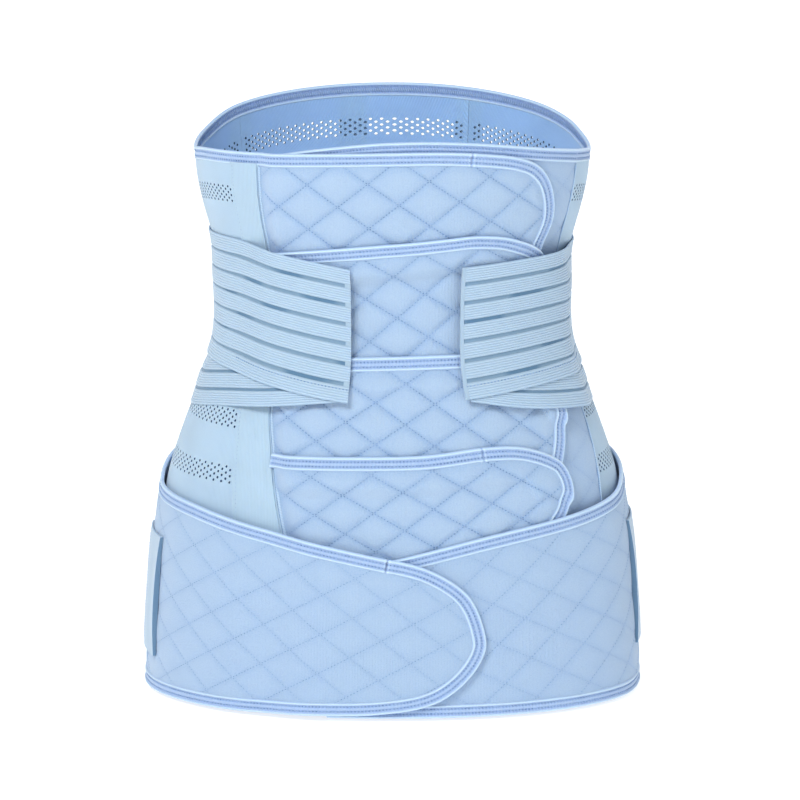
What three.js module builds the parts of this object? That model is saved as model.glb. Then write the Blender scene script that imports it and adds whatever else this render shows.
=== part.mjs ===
// Abdominal binder in the shape it takes when worn: body wrap, waist bands and pelvic belt.
// Millimetres, +Z up, the front faces -Y, the origin is the middle of the waist.
import * as THREE from "three";

// Body shape, measured on the inside of the cloth
const height = 384; // hem to the highest point of the rim
const hipWidth = 320;
const hipDepth = 210;
const squareness = 2.2; // 2 is a plain oval

// Cloth
const knitThick = 1.4;
const padThick = 2.2; // quilted flaps and belt
const underThick = 2.0;
const seamThick = 1.2; // a flap pressed flat where it is sewn in
const elasticThick = 1.0;
const tapeThick = 1.0;
const bindingWide = 9.3;
const bindingRidge = 0.5; // how far a binding stands proud of its cloth
const layerGap = 0.55;
const flapGap = 0.75; // between a flap and the next one over it
const pieceGap = 0.35;

// Waist bands and side straps
const stripCount = 7;
const slotShare = 0.19; // of the strip and slot together
const tabLength = 5;
const lowerPitch = 11.6;
const lowerSlot = 1.7;
const strapHeight = 84;
const strapLength = 44;
const strapLift = 1.7;

// Body wrap
const flapTuck = 15; // how far a flap runs down under the next one
const wrapBottom = -0.44; // share of the height
const channelWide = 18;
const holeRows = 3.4; // height of a row of perforations
const knitColumns = 22;

// Where the four panel joins run, in degrees round from the middle of the front
const leftJoin = -130;
const rightJoin = 159;
const overlapEnd = -13; // hidden end of the belt's right half
const beltJoin = 85.5;

// Cross-sections: rise is a share of the height, wide and deep are shares of the hip sizes
const SECTIONS = [
  { rise: -0.682, wide: 0.991, front: 0.952, back: 0.99 },
  { rise: -0.565, wide: 0.983, front: 0.952, back: 1.014 },
  { rise: -0.494, wide: 0.972, front: 0.95, back: 1.021 },
  { rise: -0.423, wide: 0.959, front: 0.946, back: 1.015 },
  { rise: -0.37, wide: 0.943, front: 0.938, back: 1.0 },
  { rise: -0.317, wide: 0.924, front: 0.924, back: 0.971 },
  { rise: -0.282, wide: 0.904, front: 0.91, back: 0.948 },
  { rise: -0.229, wide: 0.863, front: 0.876, back: 0.91 },
  { rise: -0.176, wide: 0.816, front: 0.838, back: 0.852 },
  { rise: -0.123, wide: 0.762, front: 0.781, back: 0.8 },
  { rise: -0.088, wide: 0.724, front: 0.743, back: 0.771 },
  { rise: -0.053, wide: 0.702, front: 0.714, back: 0.757 },
  { rise: 0.0, wide: 0.696, front: 0.695, back: 0.752 },
  { rise: 0.07, wide: 0.708, front: 0.705, back: 0.781 },
  { rise: 0.123, wide: 0.734, front: 0.733, back: 0.819 },
  { rise: 0.176, wide: 0.769, front: 0.771, back: 0.867 },
  { rise: 0.229, wide: 0.794, front: 0.817, back: 0.91 },
  { rise: 0.339, wide: 0.813, front: 0.857, back: 0.949 },
];

// Edges: turn is in degrees from the middle of the front, rise is a share of the height
const LEFT_SEAM = [
  { rise: -0.448, turn: -22 },
  { rise: -0.348, turn: -25.7 },
  { rise: -0.217, turn: -31.9 },
  { rise: -0.142, turn: -36.1 },
  { rise: 0.0, turn: -39.6 },
  { rise: 0.125, turn: -40.3 },
  { rise: 0.33, turn: -39.3 },
];
const RIGHT_SEAM = [
  { rise: -0.448, turn: 60 },
  { rise: -0.314, turn: 65.2 },
  { rise: -0.206, turn: 69.7 },
  { rise: -0.12, turn: 70 },
  { rise: 0.0, turn: 67.5 },
  { rise: 0.127, turn: 64.9 },
  { rise: 0.33, turn: 67.3 },
];
const RIM = [
  { turn: 66.8, rise: 0.2842 },
  { turn: 78, rise: 0.2772 },
  { turn: 90, rise: 0.27 },
  { turn: 104, rise: 0.276 },
  { turn: 118, rise: 0.293 },
  { turn: 138, rise: 0.3117 },
  { turn: 180, rise: 0.3292 },
  { turn: 230, rise: 0.3091 },
  { turn: 252, rise: 0.2833 },
  { turn: 270, rise: 0.2734 },
  { turn: 290, rise: 0.2849 },
  { turn: 320.6, rise: 0.2948 },
];
const UNDER_TOP = [
  { turn: -32.6, rise: 0.2948 },
  { turn: -18.8, rise: 0.3091 },
  { turn: 1.5, rise: 0.3224 },
  { turn: 20.8, rise: 0.3185 },
  { turn: 49, rise: 0.2977 },
  { turn: 66.2, rise: 0.2844 },
];
const FLAP_1 = [
  { turn: -38.6, rise: 0.2953 },
  { turn: -11, rise: 0.3036 },
  { turn: 12, rise: 0.3057 },
  { turn: 28.2, rise: 0.2974 },
  { turn: 39.3, rise: 0.2797 },
  { turn: 51.5, rise: 0.2411 },
  { turn: 55.8, rise: 0.1896 },
  { turn: 56.4, rise: 0.1264 },
  { turn: 56.2, rise: 0.035 },
];
const FLAP_2 = [
  { turn: -39.4, rise: 0.1185 },
  { turn: -14, rise: 0.1357 },
  { turn: 14, rise: 0.1526 },
  { turn: 23.4, rise: 0.1562 },
  { turn: 36.1, rise: 0.1461 },
  { turn: 51.4, rise: 0.1081 },
  { turn: 56.2, rise: 0.0469 },
  { turn: 56.6, rise: -0.03 },
  { turn: 56, rise: -0.15 },
];
const FLAP_3 = [
  { turn: -37.8, rise: -0.0625 },
  { turn: -10, rise: -0.0534 },
  { turn: 28, rise: -0.0526 },
  { turn: 44, rise: -0.0716 },
  { turn: 55.6, rise: -0.1224 },
  { turn: 57.5, rise: -0.1589 },
  { turn: 56.2, rise: -0.1953 },
  { turn: 52.9, rise: -0.2203 },
  { turn: 37, rise: -0.275 },
];
const FLAP_4 = [
  { turn: -31.1, rise: -0.2195 },
  { turn: -7.3, rise: -0.2164 },
  { turn: 6, rise: -0.2141 },
  { turn: 22.7, rise: -0.2039 },
  { turn: 37.3, rise: -0.2133 },
  { turn: 51.6, rise: -0.2464 },
  { turn: 53.9, rise: -0.2693 },
  { turn: 48.9, rise: -0.3253 },
  { turn: 28, rise: -0.455 },
];
const BAND_LEFT = [
  { turn: -178.4, top: 0.112, bottom: -0.1042 },
  { turn: -140, top: 0.1146, bottom: -0.1003 },
  { turn: -110, top: 0.1224, bottom: -0.0938 },
  { turn: -83, top: 0.1299, bottom: -0.0896 },
  { turn: -54.5, top: 0.1333, bottom: -0.0954 },
  { turn: -35.3, top: 0.1242, bottom: -0.1061 },
  { turn: -20.6, top: 0.1115, bottom: -0.1187 },
  { turn: -10.7, top: 0.101, bottom: -0.1266 },
];
const BAND_RIGHT = [
  { turn: 18.7, top: 0.1029, bottom: -0.1229 },
  { turn: 36.9, top: 0.1096, bottom: -0.1128 },
  { turn: 53.7, top: 0.1128, bottom: -0.1068 },
  { turn: 72, top: 0.1132, bottom: -0.1051 },
  { turn: 110, top: 0.1094, bottom: -0.1068 },
  { turn: 178.4, top: 0.112, bottom: -0.1042 },
];
const LOWER_LEFT = [
  { turn: -178.4, bottom: -0.1823 },
  { turn: -110, bottom: -0.1823 },
  { turn: -88.8, bottom: -0.1781 },
  { turn: -64, bottom: -0.1602 },
  { turn: -43, bottom: -0.1461 },
  { turn: -12.5, bottom: -0.1255 },
];
const LOWER_RIGHT = [
  { turn: 20.5, bottom: -0.127 },
  { turn: 38, bottom: -0.1448 },
  { turn: 63, bottom: -0.1591 },
  { turn: 88, bottom: -0.1719 },
  { turn: 110, bottom: -0.1786 },
  { turn: 178.4, bottom: -0.1823 },
];
const BELT_LEFT = [
  { turn: -beltJoin, rise: -0.3115 },
  { turn: -54.7, rise: -0.3229 },
  { turn: -26.2, rise: -0.3492 },
  { turn: -2.6, rise: -0.3841 },
  { turn: 7, rise: -0.4065 },
  { turn: 15.3, rise: -0.4516 },
  { turn: 19, rise: -0.5177 },
  { turn: 19, rise: -0.5518 },
  { turn: 15, rise: -0.6005 },
  { turn: 8, rise: -0.6406 },
  { turn: -1, rise: -0.658 },
  { turn: -16, rise: -0.6635 },
  { turn: -46, rise: -0.6675 },
  { turn: -beltJoin, rise: -0.6682 },
];
const BELT_RIGHT = [
  { turn: overlapEnd, rise: -0.418 },
  { turn: 12.3, rise: -0.3672 },
  { turn: 26.2, rise: -0.3479 },
  { turn: 58.8, rise: -0.3221 },
  { turn: 79, rise: -0.306 },
  { turn: beltJoin, rise: -0.298 },
];
const BELT_BACK = [
  { turn: beltJoin + 0.4, rise: -0.2976 },
  { turn: 105, rise: -0.276 },
  { turn: 125, rise: -0.264 },
  { turn: 180, rise: -0.2552 },
  { turn: 235, rise: -0.2656 },
  { turn: 255, rise: -0.281 },
  { turn: 360 - beltJoin - 0.4, rise: -0.311 },
];
const hemRise = -0.6682;

// Paints, one for each cloth
const paint = (color) => new THREE.MeshStandardMaterial({ color, roughness: 0.85 });
const quiltPaint = paint(0xa9c9ef);
const knitPaint = paint(0xa6c7ef);
const elasticPaint = paint(0xa8cdf0);
const bindingPaint = paint(0x9fc0ee);
const pipingPaint = paint(0xc3d9f6);

const clamp = (v) => Math.min(1, Math.max(0, v));
const smooth = (v) => clamp(v) * clamp(v) * (3 - 2 * clamp(v));
const mix = (a, b, s) => a + (b - a) * s;
const facing = (turn) => ((((turn + 180) % 360) + 360) % 360) - 180;

// A column of a table as a smooth curve of another column, straight past its ends.
function read(rows, from, column, at) {
  const x = rows.map((r) => r[from]);
  const y = rows.map((r) => r[column]);
  const last = rows.length - 1;
  const slope = (i) => {
    const a = Math.max(0, i - 1);
    const b = Math.min(last, i + 1);
    return (y[b] - y[a]) / (x[b] - x[a]);
  };
  if (at <= x[0]) return y[0] + (at - x[0]) * slope(0);
  if (at >= x[last]) return y[last] + (at - x[last]) * slope(last);
  let i = 0;
  while (at > x[i + 1]) i++;
  const h = x[i + 1] - x[i];
  const t = (at - x[i]) / h;
  const ends = y[i] * (1 - t) * (1 - t) * (1 + 2 * t) + y[i + 1] * t * t * (3 - 2 * t);
  return ends + h * t * (1 - t) * (slope(i) * (1 - t) - slope(i + 1) * t);
}

// A point of the body at a turn and a height z, out from the inside face by a distance.
function surface(turn, z, out) {
  const rise = z / height;
  const s = Math.sin((turn * Math.PI) / 180);
  const c = Math.cos((turn * Math.PI) / 180);
  const side = c >= 0 ? "front" : "back";
  const wide = (read(SECTIONS, "rise", "wide", rise) * hipWidth) / 2 + out;
  const deep = (read(SECTIONS, "rise", side, rise) * hipDepth) / 2 + out;
  const bend = 2 / squareness;
  const x = wide * Math.sign(s) * Math.abs(s) ** bend;
  const y = -deep * Math.sign(c) * Math.abs(c) ** bend;
  return new THREE.Vector3(x, y, z);
}

// Millimetres of girth in one degree of turn.
function girth(turn, z) {
  return surface(turn + 0.5, z, 4).distanceTo(surface(turn - 0.5, z, 4));
}

// A smooth edge through the rows of a table, as evenly spaced points.
function edge(rows, count) {
  const points = rows.map((r) => new THREE.Vector3(r.turn * 2, r.rise * height, 0));
  const curve = new THREE.CatmullRomCurve3(points, false, "centripetal");
  return curve.getSpacedPoints(count).map((p) => ({ turn: p.x / 2, z: p.y }));
}

// The same edge moved into the cloth, which lies on the right hand of its direction.
function inset(path, distance) {
  return path.map((p, i) => {
    const a = path[Math.max(0, i - 1)];
    const b = path[Math.min(path.length - 1, i + 1)];
    const g = girth(p.turn, p.z);
    const along = (b.turn - a.turn) * g;
    const up = b.z - a.z;
    const long = Math.hypot(along, up);
    const end = i === 0 || i === path.length - 1;
    if (end && along > Math.abs(up)) return { turn: p.turn, z: p.z - (distance * long) / along };
    return { turn: p.turn + (up / long / g) * distance, z: p.z - (along / long) * distance };
  });
}

// The heights at which an edge crosses a turn, the highest first.
function crossings(path, turn) {
  const found = [];
  for (let i = 0; i + 1 < path.length; i++) {
    const a = path[i];
    const b = path[i + 1];
    if (a.turn <= turn === b.turn <= turn) continue;
    found.push(mix(a.z, b.z, (turn - a.turn) / (b.turn - a.turn)));
  }
  return found.sort((p, q) => q - p);
}

// The edge's height at a turn, held level past either end of it.
function topAt(path, turn) {
  const turns = path.map((p) => p.turn);
  const low = Math.min(...turns) + 0.05;
  const high = Math.max(...turns) - 0.05;
  return crossings(path, Math.min(high, Math.max(low, turn)))[0];
}

// A closed sheet of cloth over a grid of points, left to right in each row, top row first.
function sheet(name, material, grid, inner, outer, open = () => false) {
  const rows = grid.length;
  const columns = grid[0].length;
  const sides = [outer, inner].map((out) =>
    grid.flat().map((p) => surface(p.turn, p.z, out(p.turn, p.z)))
  );
  const points = sides.flat();
  const half = rows * columns;
  const faces = [];
  const solid = (j, i) => j >= 0 && i >= 0 && j < rows - 1 && i < columns - 1 && !open(j, i);
  for (let j = 0; j < rows - 1; j++) {
    for (let i = 0; i < columns - 1; i++) {
      if (!solid(j, i)) continue;
      const a = j * columns + i;
      const ring = [a, a + columns, a + columns + 1, a + 1];
      const beside = [solid(j, i - 1), solid(j + 1, i), solid(j, i + 1), solid(j - 1, i)];
      faces.push(ring[0], ring[1], ring[2], ring[0], ring[2], ring[3]);
      faces.push(ring[2] + half, ring[1] + half, ring[0] + half);
      faces.push(ring[3] + half, ring[2] + half, ring[0] + half);
      beside.forEach((there, k) => {
        const p = ring[k];
        const q = ring[(k + 1) % 4];
        if (!there) faces.push(q, p, p + half, q, p + half, q + half);
      });
    }
  }
  return mesh(name, material, points, faces);
}

function mesh(name, material, points, faces) {
  const geometry = new THREE.BufferGeometry();
  const used = [...new Set(faces)];
  const place = new Map(used.map((v, i) => [v, i]));
  const flat = used.flatMap((v) => points[v].toArray());
  geometry.setAttribute("position", new THREE.Float32BufferAttribute(flat, 3));
  geometry.setIndex(faces.map((v) => place.get(v)));
  geometry.computeVertexNormals();
  const made = new THREE.Mesh(geometry, material);
  made.name = name;
  return made;
}

// Points at given turns between a lower and an upper height, in even rows.
function between(turns, upper, lower, rows) {
  const grid = [];
  for (let j = 0; j <= rows; j++) {
    grid.push(turns.map((turn) => ({ turn, z: mix(upper(turn), lower(turn), j / rows) })));
  }
  return grid;
}

function steps(from, to, count) {
  return Array.from({ length: count + 1 }, (_, i) => mix(from, to, i / count));
}

// Turns every few degrees with closer ones before a rounded end.
function toward(from, tip, count) {
  return [...steps(from, tip - 4, count), tip - 2, tip - 0.9, tip - 0.3];
}

const leftSeam = (z) => read(LEFT_SEAM, "rise", "turn", z / height);
const rightSeam = (z) => read(RIGHT_SEAM, "rise", "turn", z / height);

// A line down the wrap: it follows the nearer seam and runs straight far from both.
function wrapLine(line, z) {
  const left = leftSeam(z) + 40;
  const right = rightSeam(z) - 67;
  const nearLeft = line < -40 ? clamp((line + 100) / 60) : clamp((20 - line) / 60);
  const nearRight = line < 67 ? clamp((line - 40) / 27) : clamp((110 - line) / 43);
  return line + left * nearLeft + right * nearRight;
}

// How far the outer layers have risen from the sides on to the quilted front, 0 to 1.
function onFront(turn) {
  const t = facing(turn);
  return t < 0 ? smooth((t + 60) / 29) : smooth((85 - t) / 22);
}

// Distances out from the body for each layer.
const tapeInner = knitThick + pieceGap;
const sideInner = tapeInner + tapeThick + 2 * pieceGap;
const flapInner = underThick + bindingRidge + layerGap;
const quiltStep = padThick + bindingRidge + flapGap;
const beltInner = (turn) => mix(sideInner, flapInner + quiltStep, onFront(turn));
const lowerInner = (turn) => mix(sideInner, flapInner + 2 * quiltStep, onFront(turn));
const bandInner = (turn) => lowerInner(turn) + elasticThick + 2 * pieceGap;
const lapInner = (turn) => beltInner(turn) + quiltStep * smooth((turn - overlapEnd + 17) / 15);
const strapInner = sideInner + padThick + bindingRidge + pieceGap;

const root = new THREE.Group();
root.name = "abdominal_binder";
const add = (...pieces) => pieces.forEach((piece) => root.add(piece));

// A folded binding along an edge, a little thicker than the cloth that it holds.
function binding(name, path, inner, outer) {
  const grid = [path, inset(path, bindingWide)];
  return sheet(name, bindingPaint, grid, inner, (turn, z) => outer(turn, z) + bindingRidge);
}

// Body wrap: quilted flaps, each lying over the one above it
const FLAPS = [
  { name: "flap_1", rows: FLAP_1 },
  { name: "flap_2", rows: FLAP_2 },
  { name: "flap_3", rows: FLAP_3 },
  { name: "flap_4", rows: FLAP_4 },
];
FLAPS.forEach((flap) => {
  flap.path = edge(flap.rows, 22);
  flap.cut = inset(flap.path, bindingWide + 2 * pieceGap);
});
const lowest = wrapBottom * height;
FLAPS.forEach((flap, k) => {
  const next = FLAPS[k + 1];
  flap.bottom = next ? (turn) => topAt(next.path, turn) - flapTuck : () => lowest + 4;
  const last = flap.path[flap.path.length - 1];
  flap.low = (turn) => {
    const bottom = flap.bottom(turn);
    return mix(bottom, Math.min(bottom, last.z), smooth((turn - last.turn + 12) / 5));
  };
});
FLAPS.forEach((flap, k) => {
  const above = FLAPS[k - 1];
  const seat = (turn, z) => clamp((turn - leftSeam(z) - 0.8) / 5);
  const thick = (turn, z) => mix(seamThick, padThick, seat(turn, z));
  const lift = (turn, z) => {
    if (!above) return 0;
    const covered = smooth((z - above.low(turn) + 14) / 11);
    return covered * (thick(turn, z) + bindingRidge + flapGap);
  };
  const inner = (turn, z) => mix(pieceGap, flapInner, seat(turn, z)) + lift(turn, z);
  const outer = (turn, z) => inner(turn, z) + thick(turn, z);
  const tip = Math.max(...flap.cut.map((p) => p.turn));
  const corner = flap.cut.findIndex((p) => p.turn > tip - 1);
  const ending = flap.cut.slice(corner);
  const endAt = (z) => {
    const below = ending.findIndex((p) => p.z <= z);
    if (below === 0) return ending[0].turn;
    if (below < 0) return ending[ending.length - 1].turn;
    const a = ending[below - 1];
    const b = ending[below];
    return mix(a.turn, b.turn, (z - a.z) / (b.z - a.z));
  };
  // Lines down the flap: the first follows the seam and the last its rounded end.
  const place = (line, z) => {
    const toEnd = clamp((line - tip + 50) / 50);
    const lean = wrapLine(Math.min(line, 20), z) - Math.min(line, 20);
    return line + lean - (tip - endAt(z)) * toEnd;
  };
  const lines = [-39.2, ...toward(-33.8, tip, 9)];
  const upper = lines.map((line) => {
    let z = flap.cut[0].z;
    for (let n = 0; n < 9; n++) z = mix(z, topAt(flap.cut, place(line, z)), 0.7);
    return Math.max(z, line > tip - 1 ? ending[0].z : z);
  });
  const lower = lines.map((line) => {
    let z = flap.bottom(line);
    for (let n = 0; n < 6; n++) z = flap.bottom(place(line, z));
    return z;
  });
  const rows = 6;
  const grid = steps(0, 1, rows).map((share, j) =>
    lines.map((line, i) => {
      const free = above ? above.low(place(line, upper[i])) - 3 : upper[i];
      const start = Math.min(upper[i], free);
      const first = above && j > 0 ? Math.max(start, lower[i] + 8) : upper[i];
      const part = above ? Math.max(0, (j - 1) / (rows - 1)) : share;
      const z = j === 0 ? upper[i] : mix(Math.min(first, upper[i] - 0.8), lower[i], part);
      return { turn: place(line, z), z };
    })
  );
  add(sheet(flap.name, quiltPaint, grid, inner, outer));
  add(binding(flap.name + "_binding", flap.path, inner, outer));
});

// Levels down the wrap, closer at the waist where it curves most, as shares of the height
const DOWN = [
  0.24, 0.2, 0.165, 0.13, 0.1, 0.07, 0.04, 0.01, -0.02, -0.05, -0.08, -0.11, -0.14, -0.175,
  -0.22, -0.28, -0.35, wrapBottom,
];

// Body wrap: quilted panel on the right, under the flaps
{
  const path = edge(UNDER_TOP, 14);
  const cut = inset(path, bindingWide + pieceGap);
  const lines = [-32.8, -22, -11, 0, 11, 22, 32, 41, 50, 58, 65.9];
  const grid = [null, ...DOWN].map((rise) =>
    lines.map((line) => {
      const z = rise === null ? topAt(cut, line) : rise * height;
      return { turn: wrapLine(line, z), z };
    })
  );
  add(sheet("under_panel", quiltPaint, grid, () => 0, () => underThick));
  add(binding("under_panel_binding", path, () => 0, () => underThick));
}

// Body wrap: perforated knit round the sides and back, in three panels
const rimPath = edge(RIM, 28);
const rimCut = inset(rimPath, bindingWide + 2 * pieceGap);
const rimLow = (turn) => topAt(rimCut, facing(turn) < 60 ? facing(turn) + 360 : facing(turn));
const LEVELS = [
  { at: (turn) => rimLow(turn) },
  { at: (turn) => rimLow(turn) - 0.037 * height },
  { at: (turn) => rimLow(turn) - 0.037 * height - holeRows },
  { at: (turn) => rimLow(turn) - 0.041 * height - holeRows },
  { at: (turn) => rimLow(turn) - 0.041 * height - 2 * holeRows },
  { at: () => 0.14 * height },
  { at: () => 0.1 * height },
  { at: () => 0.055 * height },
  { at: () => 0.015 * height },
  { at: () => -0.025 * height },
  { at: () => -0.062 * height },
  { at: () => -0.095 * height },
  { at: () => -0.125 * height },
  { at: () => -0.158 * height },
  { at: () => -0.158 * height - holeRows },
  { at: () => -0.163 * height - holeRows },
  { at: () => -0.163 * height - 2 * holeRows },
  { at: () => -0.215 * height },
  { at: () => -0.25 * height },
  { at: () => -0.25 * height - holeRows },
  { at: () => -0.255 * height - holeRows },
  { at: () => -0.255 * height - 2 * holeRows },
  { at: () => -0.34 * height },
  { at: () => lowest },
];
const PIERCED = { 1: 0, 3: 1, 13: 0, 15: 1, 18: 0, 20: 1 };
const levelGrid = (lines) =>
  LEVELS.map((level) =>
    lines.map((line) => {
      const z = level.at(line);
      return { turn: wrapLine(line, z), z };
    })
  );
const CHANNELS = [
  { name: "stay_channel_front", middle: -47.4 },
  { name: "stay_channel_left", middle: leftJoin },
  { name: "stay_channel_back", middle: -170 },
  { name: "stay_channel_right", middle: rightJoin },
];
CHANNELS.forEach((channel) => {
  const half = channelWide / 2 / girth(channel.middle, 0.2 * height);
  channel.lines = [channel.middle - half, channel.middle, channel.middle + half];
});
const [front, left, back, right] = CHANNELS.map((channel) => channel.lines);
const mainColumns = Math.round(knitColumns * 0.33);
const KNIT = [
  {
    name: "knit_left",
    lines: [left[1] + 0.2, ...steps(left[2], front[0], mainColumns), ...front.slice(1), -40.85],
  },
  {
    name: "knit_back",
    lines: [
      right[1] - 359.8,
      ...steps(right[2] - 360, back[0], 2),
      back[1],
      ...steps(back[2], left[0], 3),
      left[1] - 0.2,
    ],
  },
  {
    name: "knit_right",
    lines: [...steps(67.8, right[0], mainColumns), right[1] - 0.2],
  },
];
KNIT.forEach((panel) => {
  const last = panel.lines.length - 2;
  const hole = (j, i) => j in PIERCED && i > 0 && i < last && i % 2 === PIERCED[j];
  add(sheet(panel.name, knitPaint, levelGrid(panel.lines), () => 0, () => knitThick, hole));
});
add(binding("rim_binding", rimPath, () => 0, () => knitThick));

// Body wrap: boning channels on the outside of the knit
CHANNELS.forEach((channel) => {
  const top = tapeInner + tapeThick;
  const grid = levelGrid(channel.lines);
  add(sheet(channel.name, knitPaint, grid, () => tapeInner, () => top));
});

// Body wrap: pipings in the two side seams
const SEAMS = [
  { name: "seam_piping_left", line: -40, top: () => 0.27 * height, out: knitThick + 0.9 },
  { name: "seam_piping_right", line: 66.9, top: () => 0.258 * height, out: underThick + 0.6 },
];
SEAMS.forEach((seam) => {
  const half = 0.75 / girth(seam.line, 0);
  const grid = [seam.top(), ...DOWN.map((rise) => rise * height)].map((z) =>
    [-half, half].map((side) => ({ turn: wrapLine(seam.line, z) + side, z }))
  );
  add(sheet(seam.name, pipingPaint, grid, () => 0, () => seam.out));
});

// Waist bands: strips joined by a folded tab in front and by a bar at the middle of the back
const stripRows = Array.from({ length: 2 * stripCount }, (_, j) => {
  const strip = Math.floor(j / 2) + (j % 2) * (1 - slotShare);
  return strip / (stripCount - slotShare);
});
const slotRow = (j) => j % 2 === 1;
const ROUND_LEFT = [
  -170, -163, -152, -142, -134, -126, -117, -106, -95, -84, -73, -62, -53, -45, -38, -31, -24, -18,
];
const ROUND_RIGHT = [31, 38, 45, 52, 59, 66, 74, 83, 92, 102, 114, 127, 140, 150, 158, 166];
function band(name, rows, round, tabAtEnd) {
  const first = rows[0].turn;
  const last = rows[rows.length - 1].turn;
  const tab = tabLength / girth(tabAtEnd ? last : first, 0);
  const turns = tabAtEnd
    ? [first, first + 3, ...round, last - tab, last]
    : [first, first + tab, ...round, last - 3, last];
  const grid = stripRows.map((share) =>
    turns.map((turn) => {
      const top = read(rows, "turn", "top", turn) * height;
      const bottom = read(rows, "turn", "bottom", turn) * height;
      return { turn, z: mix(top, bottom, share) };
    })
  );
  const slot = (j, i) => slotRow(j) && i > 0 && i < turns.length - 2;
  const outer = (turn) => bandInner(turn) + elasticThick;
  add(sheet(name, elasticPaint, grid, bandInner, outer, slot));
}
band("waist_band_left", BAND_LEFT, ROUND_LEFT, true);
band("waist_band_right", BAND_RIGHT, ROUND_RIGHT, false);

// Waist bands: the strips that run under the tabs
function lowerStrips(name, rows, strips, round) {
  const first = rows[0].turn;
  const last = rows[rows.length - 1].turn;
  const turns = [first, first + 3, ...round, last - 3, last];
  const grid = Array.from({ length: 2 * strips }, (_, j) => {
    const up = (strips - Math.ceil(j / 2)) * lowerPitch - (j % 2 ? 0 : lowerSlot);
    return turns.map((turn) => ({
      turn,
      z: read(rows, "turn", "bottom", turn) * height + (j === 2 * strips - 1 ? 0 : up),
    }));
  });
  const slot = (j, i) => slotRow(j) && i > 0 && i < turns.length - 2;
  const outer = (turn) => lowerInner(turn) + elasticThick;
  add(sheet(name, elasticPaint, grid, lowerInner, outer, slot));
}
lowerStrips("lower_strips_left", LOWER_LEFT, 3, ROUND_LEFT);
lowerStrips("lower_strips_right", LOWER_RIGHT, 2, ROUND_RIGHT);

// Pelvic belt: left half with its rounded end over the right half
{
  const path = edge(BELT_LEFT, 44);
  const cut = inset(path, bindingWide + pieceGap);
  const tip = Math.max(...cut.map((p) => p.turn));
  const upper = (turn) => crossings(cut, turn)[0];
  const lower = (turn) => crossings(cut, turn).pop();
  const start = cut[0].turn + 0.1;
  const turns = toward(start, tip, 17);
  const outer = (turn) => lapInner(turn) + padThick;
  add(sheet("belt_left", quiltPaint, between(turns, upper, lower, 4), lapInner, outer));
  add(binding("belt_left_binding", path, lapInner, outer));
}

// Pelvic belt: right half and back, each with a binding above and below
const hem = hemRise * height;
function beltPart(name, rows, columns) {
  const path = edge(rows, columns);
  const cut = inset(path, bindingWide + pieceGap);
  const first = rows[0].turn;
  const last = rows[rows.length - 1].turn;
  const turns = steps(first, last, columns);
  const lowPath = [...turns].reverse().map((turn) => ({ turn, z: hem }));
  const low = hem + bindingWide + pieceGap;
  const outer = (turn) => beltInner(turn) + padThick;
  const grid = between(turns, (turn) => topAt(cut, turn), () => low, 4);
  add(sheet(name, quiltPaint, grid, beltInner, outer));
  add(binding(name + "_top_binding", path, beltInner, outer));
  add(binding(name + "_hem_binding", lowPath, beltInner, outer));
}
beltPart("belt_right", BELT_RIGHT, 16);
beltPart("belt_back", BELT_BACK, 26);

// Pelvic belt: side straps whose bound ends stand off the belt
const STRAPS = [
  { name: "side_strap_left", end: -74.5, top: -0.386, side: -1 },
  { name: "side_strap_right", end: 77, top: -0.37, side: 1 },
];
STRAPS.forEach((strap) => {
  const top = strap.top * height;
  const long = strapLength / girth(strap.end, top);
  const turns = steps(strap.end, strap.end + strap.side * long, 4);
  if (strap.side < 0) turns.reverse();
  const rise = (turn, z) => {
    const near = 1 - smooth(Math.abs(turn - strap.end) / 9);
    const share = clamp((top - z) / strapHeight);
    return strapInner + strapLift * near * Math.sin(Math.PI * (0.1 + 0.8 * share));
  };
  const grid = between(turns, () => top, () => top - strapHeight, 5);
  const outer = (turn, z) => rise(turn, z) + 1.2;
  add(sheet(strap.name, elasticPaint, grid, rise, outer));
});

export default root;
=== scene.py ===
import math

import bpy
import numpy as np
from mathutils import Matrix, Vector


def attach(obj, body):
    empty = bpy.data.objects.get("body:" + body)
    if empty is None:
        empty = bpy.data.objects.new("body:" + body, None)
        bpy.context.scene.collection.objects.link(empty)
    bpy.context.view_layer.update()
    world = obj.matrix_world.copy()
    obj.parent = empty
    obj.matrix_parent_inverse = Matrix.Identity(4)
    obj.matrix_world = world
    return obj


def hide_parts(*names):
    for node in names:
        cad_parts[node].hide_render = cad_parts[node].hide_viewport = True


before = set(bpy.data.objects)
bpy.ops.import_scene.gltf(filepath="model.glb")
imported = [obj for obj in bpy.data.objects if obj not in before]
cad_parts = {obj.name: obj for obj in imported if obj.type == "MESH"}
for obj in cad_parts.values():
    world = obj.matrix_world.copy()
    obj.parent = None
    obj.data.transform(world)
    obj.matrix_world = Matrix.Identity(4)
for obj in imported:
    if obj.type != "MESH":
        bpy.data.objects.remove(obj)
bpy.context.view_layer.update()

# The camera stands far off on a long lens, a little above the binder, and looks down by 13 degrees.
view_down = math.radians(13)
view_far = 6000.0
view_wide = 528.0
aimed_at = np.array([4.95, 0.0, -67.7])
lens = bpy.data.cameras.new("camera")
lens.sensor_width = 36.0
lens.lens = 36.0 * view_far / view_wide
lens.clip_end = 100.0
camera = bpy.data.objects.new("camera", lens)
camera.location = (aimed_at + view_far * np.array([0, -math.cos(view_down), math.sin(view_down)])) / 1000
camera.rotation_euler = (math.pi / 2 - view_down, 0, 0)
bpy.context.scene.collection.objects.link(camera)
bpy.context.scene.camera = camera

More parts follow.
